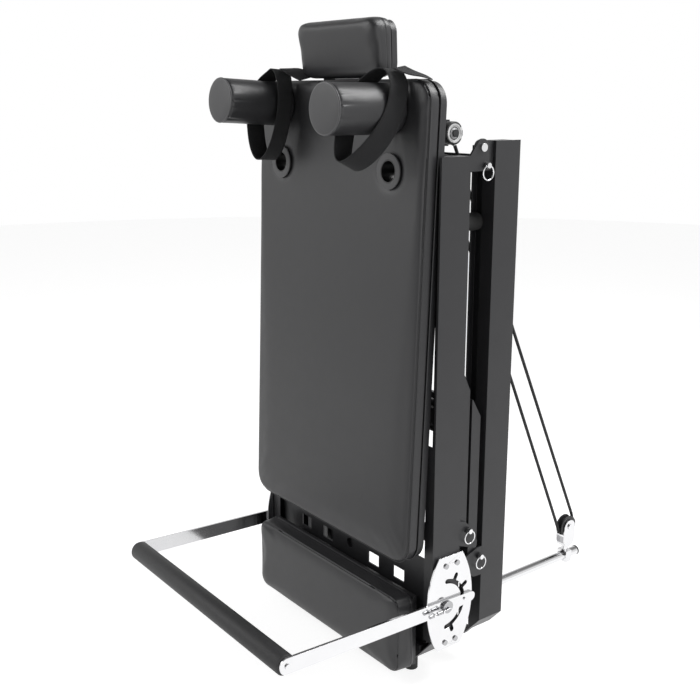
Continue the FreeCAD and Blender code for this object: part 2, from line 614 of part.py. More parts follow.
PLATE_BOLTS = (
    ("plate_y - 15", "plate_z + plate_half - 24"),
    ("plate_y + 20", "plate_z + plate_half - 24"),
    ("plate_y - 13", "plate_z - plate_half + 17"),
    ("plate_y + 20", "plate_z - plate_half + 17"),
)
foot_rail = side_rail(
    "foot_rail", "foot_low", "foot_high", ("foot_face", "foot_back"), ("foot_box", "foot_back"),
    ("foot_track", "foot_ledge"), ("foot_ledge", "foot_back"), "foot_high",
    (("plate_y", "plate_z + plate_half - 24"), ("plate_y", "head_bar_z - 40")))
rail_holes = [rod(f"rail_hole_{number}", "x", ("fence_in - 1", "half_width + 1"), y, z, "screw_radius")
              for number, (y, z) in enumerate(PLATE_BOLTS)]
flange = box("foot_flange", ("half_width - flange_wide", "half_width"),
             ("foot_face", "foot_face + rail_wall"), ("foot_low + chamfer_tall", "flange_high"))
flanged = fuse("foot_rail_flanged", foot_rail, flange)
node("foot_rails", pair("foot_rails", cut("foot_rail_drilled", flanged, *rail_holes)))
foot_tube = end_tube("foot_tube", "foot_low", ("foot_face", "foot_back"), "tube_tall")
rear_tab = box("rear_tab", ("rear_foot_x - rubber_radius", "rear_foot_x + rubber_radius"),
               ("foot_back - 30", "rear_foot_y + rubber_radius"), ("foot_low - tab_thick", "foot_low"))
node("foot_end_tube", fuse("foot_end_tube", foot_tube, rear_tab, mirror("rear_tab_left", rear_tab)))


def cross_bar(name, deep, middle):
    return box(name, ("-track_in", "track_in"), deep,
               (f"{middle} - bar_tall / 2", f"{middle} + bar_tall / 2"))


foot_bars = ("foot_back - bar_thick", "foot_back")
head_bars = ("head_back", "head_back + bar_thick")
guide_block = box("rope_guide_block", ("riser_x - guide_half", "riser_x + guide_half"), foot_bars,
                  ("foot_bar_z + bar_tall / 2", "guide_top"))
guide_slot = box("rope_guide_slot", ("riser_x - rope_radius - soft_gap", "riser_x + rope_radius + soft_gap"),
                 ("rope_guide_y - rope_radius - soft_gap", "foot_back + 1"),
                 ("foot_bar_z + bar_tall / 2", "guide_top + 1"))
guide = cut("rope_guide", guide_block, guide_slot)
upper_bar = fuse("foot_upper_bar", cross_bar("foot_upper_flat", foot_bars, "foot_bar_z"), guide,
                 mirror("rope_guide_left", guide))
node("foot_cross_bars", group("foot_cross_bars", upper_bar,
                              cross_bar("foot_middle_bar", foot_bars, "middle_bar_z")))

# ---- head half ---------------------------------------------------------------------------------
head_rail = side_rail(
    "head_rail", "head_low", "head_high", ("head_back", "head_face"), ("head_back", "head_box"),
    ("head_ledge", "head_track"), ("head_back", "head_ledge"), "head_high - ledge_start",
    (("head_back + box_deep / 2", "head_bar_z - 30"), ("head_back + box_deep / 2", "riser_z")))
node("head_rails", pair("head_rails", head_rail))
node("head_end_tube", end_tube("head_end_tube", "head_low", ("head_back", "head_back + head_tube_deep"),
                               "head_tube_tall"))
node("head_cross_bars", group("head_cross_bars", cross_bar("head_upper_bar", head_bars, "head_bar_z"),
                              cross_bar("head_middle_bar", head_bars, "middle_bar_z")))

# ---- spring plate and platform -----------------------------------------------------------------
web = fuse("web", box("web_wide", ("-fence_in", "fence_in"), ("web_face", "web_back"),
                      ("web_step", "web_high")),
           box("web_foot", ("-box_in", "box_in"), ("web_face", "web_back"),
               ("foot_low + tube_tall", "web_step")))
windows = [box(f"window_{number}", (f"{middle} - window_wide / 2", f"{middle} + window_wide / 2"),
               ("web_face - 1", "web_back + 1"), ("window_low", "window_high"))
           for number, middle in enumerate(("-window_far", "-window_near", "window_near", "window_far"))]
web_hole = rod("web_hole", "y", "0", ("web_face - 1", "web_back + 1"), "hole_z", "hole_radius")
cup = rod("web_cup", "y", "0", ("web_back - 1", "web_back + cup_deep"), "hole_z", "hole_radius + rail_wall")
cup_room = rod("web_cup_room", "y", "0", ("web_back - 2", "web_back + cup_deep - rail_wall"), "hole_z",
               "hole_radius")
SPRINGS = ("-spring_far", "-spring_near", "spring_near", "spring_far")
hooks = [box(f"hook_{number}", (f"{x} - spring_wire", f"{x} + spring_wire"),
             ("web_back", "spring_y + spring_wire"), ("hook_post - 6", "hook_post + 6"))
         for number, x in enumerate(SPRINGS)]
node("spring_plate", fuse("spring_plate", cut("web_cut", web, *windows, web_hole),
                          cut("web_cup_hollow", cup, cup_room), *hooks))

springs = []
for number, x in enumerate(SPRINGS):
    coil = rod(f"coil_{number}", "z", x, "spring_y", ("spring_low", "spring_high"), "spring_radius")
    core = rod(f"core_{number}", "z", x, "spring_y",
               ("spring_low + 2 * spring_wire", "spring_high - 2 * spring_wire"),
               "spring_radius - 2 * spring_wire")
    slit = box(f"slit_{number}", (f"{x} - spring_wire / 2", f"{x} + spring_wire / 2"),
               ("spring_y", "spring_y + spring_radius + 1"),
               ("spring_low + 3 * spring_wire", "spring_high - 3 * spring_wire"))
    lower = rod(f"lower_hook_{number}", "z", x, "spring_y",
                ("hook_post + 6 + soft_gap", "spring_low + 1"), "spring_wire")
    upper = rod(f"upper_hook_{number}", "z", x, "spring_y",
                ("spring_high - 1", "hook_tab - soft_gap"), "spring_wire")
    springs.append(fuse(f"spring_{number}", cut(f"spring_tube_{number}", coil, core, slit), lower, upper))
node("springs", group("springs", *springs))

board = box("board", ("10 - platform_half", "platform_half - 10"), ("platform_seam", "board_back"),
            ("platform_low + 10", "platform_low + platform_tall - 10"))
low_stand = box("low_stand", ("window_near", "window_near + bar_tall"), ("board_back", "foot_face"),
                ("foot_low + 2", "foot_low + tube_tall - 2"))
high_stand = box("high_stand", ("window_far + bar_tall", "window_far + bar_tall + 20"),
                 ("board_back", "web_face"), ("foot_low + 100", "foot_low + 125"))
node("platform_board", fuse("platform_board", board, low_stand, mirror("low_stand_left", low_stand),
                            high_stand, mirror("high_stand_left", high_stand)))
node("platform_pad", slab("platform_pad", "platform_half", "platform_low", "platform_tall",
                          "platform_face", "platform_thick", "platform_corner", "platform_round"))

# ---- rubber feet and fold bumpers --------------------------------------------------------------
front_foot = rod("front_foot", "z", "front_foot_x", "front_foot_y", ("0", "foot_low"), "rubber_radius")
rear_foot = rod("rear_foot", "z", "rear_foot_x", "rear_foot_y", ("0", "foot_low - tab_thick"),
                "rubber_radius")
node("rubber_feet", pair("rubber_feet", front_foot, rear_foot))
bumper = rod("bumper", "y", "bumper_x", ("foot_back", "head_back - soft_gap"), "bumper_z", "bumper_radius")
node("frame_bumpers", pair("frame_bumpers", bumper))


# ---- ring pull pins ----------------------------------------------------------------------------
def bush(name, outside, y, z):
    """The bush in which a ring pull pin slides, on the outer face of its plate."""
    return rod(name, "x", (outside, f"{outside} + bush_long"), y, z, "bush_radius")


def pin_bore(name, inside, outside, y, z):
    return rod(name, "x", (f"{inside} - 1", f"{outside} + bush_long + 1"), y, z,
               "pin_radius + running_fit")


def ring_pin(name, inside, outside, y, z):
    """A pull pin with its ring hanging from a hole in its head."""
    shank = rod(name + "_shank", "x", (inside, f"{outside} + knob_start + 1"), y, z, "pin_radius")
    knob = rod(name + "_knob", "x", (f"{outside} + knob_start", f"{outside} + knob_start + knob_long"),
               y, z, "knob_radius")
    ring = doc.addObject("Part::Torus", name + "_ring")
    ring.Placement = FreeCAD.Placement(FreeCAD.Vector(), TURNS["x"])
    ring.setExpression("Radius1", "Dims.ring_radius")
    ring.setExpression("Radius2", "Dims.ring_wire")
    ring.setExpression("Placement.Base.x", bound(f"{outside} + knob_start + knob_long / 2"))
    ring.setExpression("Placement.Base.y", bound(y))
    ring.setExpression("Placement.Base.z", bound(f"{z} - ring_radius"))
    right = node(name + "_right", fuse(name + "_right", shank, knob, ring))
    node(name + "_left", mirror(name + "_left", right))


HINGE_PIN = ("hinge_y + 9.3", "hinge_z - 38.3")
ring_pin("hinge_pin", "hinge_x", "hinge_out", *HINGE_PIN)
FOOT_PIN = ("foot_back + 24", "foot_leg_z + 13")
ring_pin("foot_leg_pin", "bracket_in", "half_width", *FOOT_PIN)
HEAD_PIN = ("head_back - 10", "head_leg_z + 13")
ring_pin("head_leg_pin", "bracket_in", "half_width", *HEAD_PIN)

# ---- fold hinge --------------------------------------------------------------------------------
hinge_low = at.hinge_z - at.hinge_drop
tab = plate("hinge_tab", (
    (at.foot_back, hinge_low, 0), (at.hinge_y + 9, hinge_low + 10, 10),
    (at.hinge_y, at.hinge_z, at.plate_round), (at.foot_back, at.foot_high, 0)), at.hinge_x, at.hinge_out)
tab_bore = rod("tab_bore", "x", ("hinge_x - 1", "hinge_out + 1"), "hinge_y", "hinge_z", "bolt_radius")
tab_made = cut("hinge_plate", fuse("tab_bushed", tab, bush("tab_bush", "hinge_out", *HINGE_PIN)),
               tab_bore, pin_bore("tab_pin_bore", "hinge_x", "hinge_out", *HINGE_PIN))
node("hinge_plates", pair("hinge_plates", tab_made))

lug = plate("hinge_lug_plate", (
    (at.hinge_y, at.hinge_z, at.lug_round), (at.hinge_y + 6, hinge_low + 8, 8),
    (at.head_back, hinge_low, 0), (at.head_back, at.head_high, 0)), at.lug_in, at.lug_out)
lug_bore = rod("lug_bore", "x", ("lug_in - 1", "lug_out + 1"), "hinge_y", "hinge_z",
               "bolt_radius + running_fit")
node("hinge_lugs", pair("hinge_lugs", cut("hinge_lug", lug, lug_bore)))

shank = rod("hinge_shank", "x", ("lug_in - bolt_rise - 0.5", "hinge_out + bolt_rise"), "hinge_y",
            "hinge_z", "bolt_radius")
head = rod("hinge_head", "x", ("hinge_out", "hinge_out + bolt_rise"), "hinge_y", "hinge_z", "bolt_head")
nut = rod("hinge_nut", "x", ("lug_in - bolt_rise - 0.5", "lug_in - 0.5"), "hinge_y", "hinge_z",
          "bolt_head")
node("hinge_bolts", pair("hinge_bolts", fuse("hinge_bolt", shank, head, nut)))


# ---- folding legs and their brackets -----------------------------------------------------------
def legs(name, y, deep, pivot, tip):
    """Two leg tubes, round at the pivot and slanting at the tip, and their tie tube."""
    front = y - deep / 2
    back = y + deep / 2
    wall = at.leg_wall
    outline = ((y, pivot, deep / 2), (back, tip - at.tip_cut, 0), (front + 2, tip, 0), (front, tip, 0))
    inner = ((y, pivot, deep / 2 - wall), (back - wall, tip - at.tip_cut - wall, 0),
             (front + wall + 1, tip - 3 * wall, 0), (front + wall, tip - 3 * wall, 0))
    tube = plate(name + "_tube", outline, at.leg_in, at.leg_out)
    hollow = plate(name + "_hollow", inner, at.leg_in + wall, at.leg_out - wall)
    bore = rod(name + "_bore", "x", (at.leg_in - 1, at.leg_out + 1), y, pivot,
               "leg_stud + running_fit")
    leg = cut(name + "_leg", tube, hollow, bore)
    tie = rod(name + "_tie", "x", ("-leg_in", "leg_in"), y, f"{pivot} + tie_up", "tie_radius")
    return group(name, leg, mirror(name + "_left", leg), tie)


node("foot_legs", legs("foot_legs", at.foot_leg_y, at.foot_leg_deep, at.foot_leg_z, at.foot_leg_tip))
node("head_legs", legs("head_legs", at.head_leg_y, at.head_leg_deep, at.head_leg_z, at.head_leg_tip))


def leg_bracket(name, outline, y, pivot, pin):
    """A plate welded to the rail's underside, with the leg's pivot stud and a pin bush."""
    web_plate = plate(name + "_plate", outline, at.bracket_in, at.half_width)
    stud = rod(name + "_stud", "x", ("leg_in - 2", "bracket_in"), y, pivot, "leg_stud")
    collar = rod(name + "_collar", "x", ("leg_in - 4", "leg_in - 1"), y, pivot, "leg_stud + 3")
    made = fuse(name + "_made", web_plate, bush(name + "_bush", "half_width", *pin), stud, collar)
    return cut(name, made, pin_bore(name + "_bore", "bracket_in", "half_width", *pin))


back = at.foot_back
hung = at.foot_leg_z
foot_bracket = leg_bracket("foot_leg_bracket", (
    (back, hung - 21, 0), (back + 51, hung - 34.5, 5), (back + 52, hung - 24, 5), (back + 37, hung + 8, 6),
    (back + 14, hung + 30, 6), (back, hung + 41, 0)), "foot_leg_y", "foot_leg_z", FOOT_PIN)
node("foot_leg_brackets", pair("foot_leg_brackets", foot_bracket))
back = at.head_back
hung = at.head_leg_z
head_bracket = leg_bracket("head_leg_bracket", (
    (back, hung - 40, 0), (back, hung + 35, 0), (back - 14, hung + 29, 5), (back - 44, hung + 13, 10),
    (back - 44, hung - 11, 10), (back - 22, hung - 31, 8)), "head_leg_y", "head_leg_z", HEAD_PIN)
node("head_leg_brackets", pair("head_leg_brackets", head_bracket))

# ---- foot bar, its adjuster plates and their bolts ---------------------------------------------
PIVOT = at_yz(at.pivot_y, at.pivot_z)


def plate_outline():
    """Flat top and bottom, one long bulge on each side."""
    middle = at_yz(at.plate_y, at.plate_z)
    rows = [middle + at_yz(y, z) for y, z in (
        (-at.plate_flat, at.plate_half), (-at.plate_bulge, 0), (-at.plate_flat, -at.plate_half),
        (at.plate_flat, -at.plate_half), (at.plate_bulge, 0), (at.plate_flat, at.plate_half))]
    edges = [Part.Arc(rows[0], rows[1], rows[2]), Part.LineSegment(rows[2], rows[3]),
             Part.Arc(rows[3], rows[4], rows[5]), Part.LineSegment(rows[5], rows[0])]
    return Part.Face(Part.Wire([edge.toShape() for edge in edges]))


def polar(radius, degrees):
    turn = math.radians(degrees)
    return PIVOT + at_yz(radius * math.cos(turn), radius * math.sin(turn))


def slot_face(first, last):
    """The arc slot round the pivot, from one angle above level to the other."""
    near = at.slot_radius - at.slot_half
    far = at.slot_radius + at.slot_half
    middle = (first + last) / 2
    edges = [
        Part.Arc(polar(near, first), polar(near, middle), polar(near, last)),
        Part.Arc(polar(near, last), polar(at.slot_radius, last) + end_step(last), polar(far, last)),
        Part.Arc(polar(far, last), polar(far, middle), polar(far, first)),
        Part.Arc(polar(far, first), polar(at.slot_radius, first) - end_step(first), polar(near, first)),
    ]
    return Part.Face(Part.Wire([edge.toShape() for edge in edges]))


def end_step(degrees):
    """Half the slot's width along the arc at an angle."""
    turn = math.radians(degrees)
    return at_yz(-math.sin(turn), math.cos(turn)) * at.slot_half


def notch(degrees, reach):
    """A finger of the slot that the latch pin drops into, towards or away from the pivot."""
    inner = polar(at.slot_radius, degrees)
    outer = polar(reach, degrees)
    ends = (inner, outer) if reach > at.slot_radius else (outer, inner)
    return hull(((ends[0].y, ends[0].z, at.slot_half), (ends[1].y, ends[1].z, at.slot_half)))


plate_shape = plate_outline()
slot_shape = slot_face(-84, 84)
openings = [slot_shape]
for angle in (62, 30, 2, -70):
    openings.append(notch(angle, at.notch_reach))
for opening in openings:
    plate_shape = plate_shape.cut(opening)
plate_shape.translate(FreeCAD.Vector(at.plate_in, 0, 0))
flat_plate = shaped("flat_plate", plate_shape.extrude(FreeCAD.Vector(at.plate_thick, 0, 0)))
flange = box("plate_flange", ("half_width", "plate_out"), ("plate_y - plate_flat", "plate_y + plate_flat"),
             ("plate_z + plate_half - plate_gap", "plate_z + plate_half"))
bosses = [rod(f"plate_boss_{number}", "x", ("half_width", "plate_in"), y, z, "boss_radius")
          for number, (y, z) in enumerate(PLATE_BOLTS)]
pivot_boss = rod("pivot_boss", "x", ("half_width", "plate_in"), "pivot_y", "pivot_z", "pivot_head")
plate_bores = [rod(f"plate_bore_{number}", "x", ("half_width - 1", "plate_out + 1"), y, z, "screw_radius")
               for number, (y, z) in enumerate(PLATE_BOLTS)]
pivot_bore = rod("pivot_bore", "x", ("half_width - 1", "plate_out + 1"), "pivot_y", "pivot_z",
                 "pivot_radius")
node("adjuster_plates", pair("adjuster_plates", cut(
    "adjuster_plate", fuse("plate_made", flat_plate, flange, pivot_boss, *bosses), pivot_bore,
    *plate_bores)))

screws = []
for number, (y, z) in enumerate(PLATE_BOLTS):
    screw_shank = rod(f"screw_shank_{number}", "x", ("fence_in", "plate_out + 1"), y, z, "screw_radius")
    screw_cap = rod(f"screw_cap_{number}", "x", ("plate_out", "plate_out + 3"), y, z, "screw_head")
    screws.append(fuse(f"screw_{number}", screw_shank, screw_cap))
node("adjuster_bolts", pair("adjuster_bolts", *screws))

pivot_shank = rod("pivot_shank", "x", ("half_width", "arm_out + arm_gap + 1"), "pivot_y", "pivot_z",
                  "pivot_radius")
pivot_cap = rod("pivot_cap", "x", ("arm_out + arm_gap", "arm_out + arm_gap + 6"), "pivot_y",
                "pivot_z", "pivot_head")
node("foot_bar_bolts", pair("foot_bar_bolts", fuse("foot_bar_bolt", pivot_shank, pivot_cap)))

arm_plate = plate("arm_plate", (
    (at.bar_y, at.bar_z, at.arm_half), (at.pivot_y, at.pivot_z, at.arm_half),
    (at.pivot_y + at.tail_long, at.pivot_z, at.tail_half)), at.arm_in, at.arm_out)
arm_bore = rod("arm_bore", "x", ("arm_in - 1", "arm_out + 1"), "pivot_y", "pivot_z",
               "pivot_radius + running_fit")
end_screw = rod("end_screw", "x", ("arm_out - 1", "arm_out + 3"), "bar_y", "bar_z", "screw_head")
latch_pin = rod("latch_pin", "x", ("plate_out + soft_gap", "arm_out + 3"), "pivot_y + slot_radius",
                "pivot_z", "screw_radius")
lugs = [box(f"plunger_lug_{number}", ("arm_out - 1", "plunger_x + 4.5"), deep,
            ("plunger_z - 4.5", "plunger_z + 4.5"))
        for number, deep in enumerate((("pivot_y - 51", "pivot_y - 47"), ("pivot_y - 22", "pivot_y - 18")))]
lug_holes = rod("lug_holes", "y", "plunger_x", ("pivot_y - 52", "pivot_y - 17"), "plunger_z",
                "plunger_radius + running_fit")
node("foot_bar_arms", pair("foot_bar_arms", cut(
    "foot_bar_arm", fuse("arm_made", arm_plate, end_screw, latch_pin, *lugs), arm_bore, lug_holes)))
bar_tube = rod("bar_tube", "x", ("-arm_in", "arm_in"), "bar_y", "bar_z", "bar_radius")
bar_room = rod("bar_room", "x", ("-arm_in - 1", "arm_in + 1"), "bar_y", "bar_z",
               "bar_radius - bar_wall")
node("foot_bar_tube", cut("foot_bar_tube", bar_tube, bar_room))
foam = rod("foam", "x", ("soft_gap - arm_in", "arm_in - soft_gap"), "bar_y", "bar_z", "grip_radius")
foam_room = rod("foam_room", "x", ("-arm_in", "arm_in"), "bar_y", "bar_z", "bar_radius")
node("foot_bar_grip", cut("foot_bar_grip", foam, foam_room))

plunger_rod = rod("plunger_rod", "y", "plunger_x", ("pivot_y - 56", "pivot_y + 4"), "plunger_z",
                  "plunger_radius")
plunger_spring = rod("plunger_spring", "y", "plunger_x", ("pivot_y - 38", "pivot_y - 24"), "plunger_z",
                     "plunger_radius + 2")
plunger_knob = rod("plunger_knob", "y", "plunger_x", ("pivot_y - 62", "pivot_y - 53"), "plunger_z",
                   "plunger_radius + 2")
plunger = node("latch_plunger_right", fuse("latch_plunger_right", plunger_rod, plunger_spring,
                                           plunger_knob))
node("latch_plunger_left", mirror("latch_plunger_left", plunger))

# ---- risers, pulleys and ropes -----------------------------------------------------------------
socket_block = box("socket_block", ("riser_x - socket_half", "track_in"), ("head_back", "head_face"),
                   ("riser_z - socket_half", "riser_z + socket_half"))
socket_hole = rod("socket_hole", "y", "riser_x", ("riser_start", "head_face + 1"), "riser_z",
                  "riser_radius")
node("riser_sockets", pair("riser_sockets", cut("riser_socket", socket_block, socket_hole)))
riser = rod("riser", "y", "riser_x", ("riser_start", "riser_end"), "riser_z", "riser_radius")
riser_room = rod("riser_room", "y", "riser_x", ("riser_start - 1", "riser_end + 1"), "riser_z",
                 "riser_radius - riser_wall")
node("riser_tubes", pair("riser_tubes", cut("riser_tube", riser, riser_room)))
cap_plug = rod("cap_plug", "y", "riser_x", ("riser_end - 12", "riser_end + 1"), "riser_z",
               "riser_radius - riser_wall")
cap_face = rod("cap_face", "y", "riser_x", ("riser_end", "riser_end + cap_long"), "riser_z",
               "riser_radius + 0.5")
node("riser_caps", pair("riser_caps", fuse("riser_cap", cap_plug, cap_face)))

clamp = box("clamp", ("riser_x - socket_half + 2", "riser_x + socket_half - 2"),
            ("pulley_y - clamp_half", "pulley_y + clamp_half"),
            ("riser_z - socket_half + 2", "riser_z + socket_half - 2"))
clamp_hole = rod("clamp_hole", "y", "riser_x", ("pulley_y - clamp_half - 1", "pulley_y + clamp_half + 1"),
                 "riser_z", "riser_radius")
neck = rod("neck", "z", "riser_x", "pulley_y", ("riser_z + socket_half - 3", "cheek_low + 8"), "9")
yoke = box("yoke", ("cheek_in - cheek_thick", "cheek_out + cheek_thick"),
           ("pulley_y - cheek_half + 5", "pulley_y + cheek_half - 5"), ("cheek_low + 4", "cheek_low + 10"))
cheek_round = at.cheek_half
cheeks = [plate(f"cheek_{number}", (
    (at.pulley_y, at.cheek_low + cheek_round, cheek_round),
    (at.pulley_y, at.cheek_high - cheek_round, cheek_round)), low, low + at.cheek_thick)
    for number, low in enumerate((at.cheek_in - at.cheek_thick, at.cheek_out))]
pulley_axle = rod("pulley_axle", "x", ("cheek_in - cheek_thick - 1", "cheek_out + cheek_thick + 1"),
                  "pulley_y", "pulley_z", "stub_radius")
axle_heads = [rod(f"axle_head_{number}", "x", ends, "pulley_y", "pulley_z", "nut_radius")
              for number, ends in enumerate((
                  ("cheek_in - cheek_thick - 3.5", "cheek_in - cheek_thick"),
                  ("cheek_out + cheek_thick", "cheek_out + cheek_thick + 3.5")))]
node("pulley_forks", pair("pulley_forks", fuse(
    "pulley_fork", cut("clamp_bored", clamp, clamp_hole), neck, yoke, *cheeks, pulley_axle, *axle_heads)))

groove = at.groove_radius - at.rope_radius - at.soft_gap
floor = at.rope_radius + at.soft_gap
mouth = floor + at.groove_flare
half = at.pulley_wide / 2
bore = at.stub_radius + at.running_fit
pulley = turned("pulley_wheel_right", (
    (-half, bore), (half, bore), (half, at.pulley_radius - 1), (half - 1, at.pulley_radius),
    (mouth, at.pulley_radius), (floor, groove), (-floor, groove), (-mouth, at.pulley_radius),
    (1 - half, at.pulley_radius), (-half, at.pulley_radius - 1)))
pulley.setExpression("Placement.Base.x", "Dims.riser_x")
pulley.setExpression("Placement.Base.y", "Dims.pulley_y")
pulley.setExpression("Placement.Base.z", "Dims.pulley_z")
node("pulley_wheel_right", pulley)
node("pulley_wheel_left", mirror("pulley_wheel_left", pulley))


def tangent_point(outside, centre, radius, side):
    """Where the straight strand from a point meets the rope's circle round the pulley."""
    away = outside - centre
    turn = side * math.acos(radius / away.Length)
    base = math.atan2(away.z, away.y) + turn
    return centre + at_yz(math.cos(base), math.sin(base)) * radius


hub = at_yz(at.pulley_y, at.pulley_z)
rear_end = at_yz(at.rope_hinge_y, at.hinge_z - at.soft_gap)
front_end = at_yz(at.rope_guide_y, at.guide_top)
rear_touch = tangent_point(rear_end, hub, at.groove_radius, -1)
front_touch = tangent_point(front_end, hub, at.groove_radius, 1)
under = hub + (hub - (rear_end + front_end) * 0.5).normalize() * at.groove_radius
beside = FreeCAD.Vector(at.riser_x, 0, 0)
strand = [
    Part.LineSegment(rear_end + beside, rear_touch + beside).toShape(),
    Part.Arc(rear_touch + beside, under + beside, front_touch + beside).toShape(),
    Part.LineSegment(front_touch + beside, front_end + beside).toShape(),
]
rope = shaped("rope_right", swept(strand, at.rope_radius))
rope_long = sum(edge.Length for edge in strand)
rope_round = math.pi * at.rope_radius ** 2
print("rope", round(rope_long), "mm long, radius", at.rope_radius, ", round the pulley",
      at.groove_radius, ", volume against section by length",
      round(rope.Shape.Volume / (rope_round * rope_long), 4))
node("rope_right", rope)
node("rope_left", mirror("rope_left", rope))

# ---- foot axle and wheels ----------------------------------------------------------------------
axle = rod("axle", "x", ("soft_gap - wheel_in", "wheel_in - soft_gap"), "axle_y", "foot_axle_z",
           "axle_radius")
stub_ends = rod("stub_ends", "x", ("-wheel_out - nut_long", "wheel_out + nut_long"), "axle_y",
                "foot_axle_z", "stub_radius")
axle_nut = rod("axle_nut", "x", ("wheel_out + soft_gap", "wheel_out + soft_gap + nut_long"), "axle_y",
               "foot_axle_z", "nut_radius")
tabs = [box(f"spring_tab_{number}", (f"{x} - spring_wire", f"{x} + spring_wire"),
            ("spring_y - spring_wire", "axle_y"), ("hook_tab", "foot_axle_z"))
        for number, x in enumerate(SPRINGS)]
node("foot_axle", fuse("foot_axle", axle, stub_ends, axle_nut, mirror("axle_nut_left", axle_nut), *tabs))

half = at.wheel_wide / 2
bore = at.stub_radius + at.running_fit
tyre = at.wheel_radius
WHEEL = (
    (-half, bore), (half, bore), (half, 9), (half - 1.5, 9), (half - 1.5, 17), (half, 17),
    (half, tyre - 1.5), (half - 1.5, tyre), (1.5 - half, tyre), (-half, tyre - 1.5), (-half, 17),
    (1.5 - half, 17), (1.5 - half, 9), (-half, 9))


def wheel(name, height):
    body = turned(name, WHEEL)
    body.setExpression("Placement.Base.x", "Dims.wheel_x")
    body.setExpression("Placement.Base.y", "Dims.axle_y")
    body.setExpression("Placement.Base.z", bound(height))
    return body


foot_wheel = node("foot_wheel_right", wheel("foot_wheel_right", "foot_axle_z"))
node("foot_wheel_left", mirror("foot_wheel_left", foot_wheel))
head_wheel = leaned("head_wheel_right", wheel("head_wheel", "head_axle_z"))
node("head_wheel_left", mirror("head_wheel_left", head_wheel))

# ---- carriage: frame, wheel brackets, guide rollers --------------------------------------------
frame_deep = ("pad_back", "frame_back")
side_tube = box("side_tube", ("frame_x", "bracket_x"), frame_deep, ("foot_axle_z - 30", "rest_z + 30"))
cross_tubes = [box(f"cross_tube_{number}", ("-frame_x", "frame_x"), frame_deep,
                   (f"{z} - frame_tall / 2", f"{z} + frame_tall / 2"))
               for number, z in enumerate(("foot_axle_z", "(foot_axle_z + head_axle_z) / 2",
                                           "head_axle_z"))]
leaned("carriage_frame", group("carriage_frame", side_tube, mirror("side_tube_left", side_tube),
                               *cross_tubes))

foot_web = plate("foot_bracket_plate", (
    (at.pad_back, at.foot_axle_z - 20, 0), (at.axle_y, at.foot_axle_z, 15),
    (at.pad_back, at.foot_axle_z + 20, 0)), at.bracket_x, at.bracket_edge)
axle_bore = rod("axle_bore", "x", ("bracket_x - 1", "bracket_edge + 1"), "axle_y", "foot_axle_z",
                "axle_radius + running_fit")
head_web = box("head_bracket_plate", ("bracket_x", "bracket_edge"), ("pad_back", "roller_start - 1"),
               ("head_axle_z - 28", "head_axle_z + 28"))
ear = box("rope_ear", ("bracket_x", "bracket_edge"), ("roller_start - 2", "rope_pin_y + 4"),
          ("rope_pin_z - 4.5", "rope_pin_z + 4.5"))
rope_pin = rod("rope_pin", "x", ("riser_x - 4", "bracket_x + 1"), "rope_pin_y", "rope_pin_z", "4")
roller_stud = rod("roller_stud", "y", "roller_x", ("roller_start - 8", "roller_end + 1"), "roller_z", "3")
stud_cap = rod("stud_cap", "y", "roller_x", ("roller_end + soft_gap", "roller_end + 2"), "roller_z", "5")
wheel_stub = rod("wheel_stub", "x", ("bracket_x + 1", "wheel_out + nut_long"), "axle_y", "head_axle_z",
                 "stub_radius")
wheel_collar = rod("wheel_collar", "x", ("bracket_edge", "wheel_in - soft_gap"), "axle_y",
                   "head_axle_z", "nut_radius")
wheel_nut = rod("wheel_nut", "x", ("wheel_out + soft_gap", "wheel_out + soft_gap + nut_long"), "axle_y",
                "head_axle_z", "nut_radius")
leaned("wheel_brackets", pair(
    "wheel_brackets", cut("foot_bracket_bored", foot_web, axle_bore),
    fuse("head_bracket", head_web, ear, rope_pin, roller_stud, stud_cap, wheel_stub, wheel_collar,
         wheel_nut)))

roller_body = rod("roller_body", "y", "roller_x", ("roller_start", "roller_end"), "roller_z",
                  "roller_radius")
roller_bore = rod("roller_bore", "y", "roller_x", ("roller_start - 1", "roller_end + 1"), "roller_z",
                  "3 + running_fit")
roller = leaned("guide_roller_right", cut("roller_bored", roller_body, roller_bore))
node("guide_roller_left", mirror("guide_roller_left", roller))

# ---- carriage: pad, sockets, shoulder rests, straps --------------------------------------------
through = ("pad_face - 1", "pad_back + 1")


def both(name, z, radius):
    """A pair of holes along Y, one on each side."""
    right = rod(name, "y", "socket_x", through, z, radius)
    return right, mirror(name + "_left", right)


board_slab = slab("carriage_board", "back_half", "back_low", "back_long", "pad_seam", "back_thick",
                  "pad_corner", None)
leaned("carriage_pad_back", cut("pad_back_bored", board_slab,
                                *both("board_socket", "socket_z", "sleeve_radius"),
                                *both("board_post", "rest_z", "post_radius")))
cushion = slab("carriage_cushion", "pad_half", "pad_low", "pad_long", "pad_face", "pad_thick",
               "pad_corner", "pad_round")
leaned("carriage_pad", cut("carriage_pad_bored", cushion,
                           *both("pad_socket", "socket_z", "sleeve_radius + soft_gap"),
                           *both("pad_post", "rest_z", "post_radius + soft_gap")))
socket_flange = rod("socket_flange", "y", "socket_x", ("pad_face - flange_thick", "pad_face"), "socket_z",
                    "flange_radius")
socket_sleeve = rod("socket_sleeve", "y", "socket_x", ("pad_face - 1", "pad_back"), "socket_z",
                    "sleeve_radius")
socket_room = rod("socket_room", "y", "socket_x", ("pad_face - flange_thick - 1", "pad_back + 1"),
                  "socket_z", "socket_bore")
leaned("grommets", pair("grommets", cut("grommet", fuse("grommet_made", socket_flange, socket_sleeve),
                                        socket_room)))
post = rod("post", "y", "socket_x", ("pad_face - post_long", "pad_back + 1"), "rest_z", "post_radius")
post_nut = rod("post_nut", "y", "socket_x", ("pad_back", "pad_back + 6"), "rest_z", "post_radius + 6")
leaned("shoulder_posts", pair("shoulder_posts", fuse("shoulder_post", post, post_nut)))

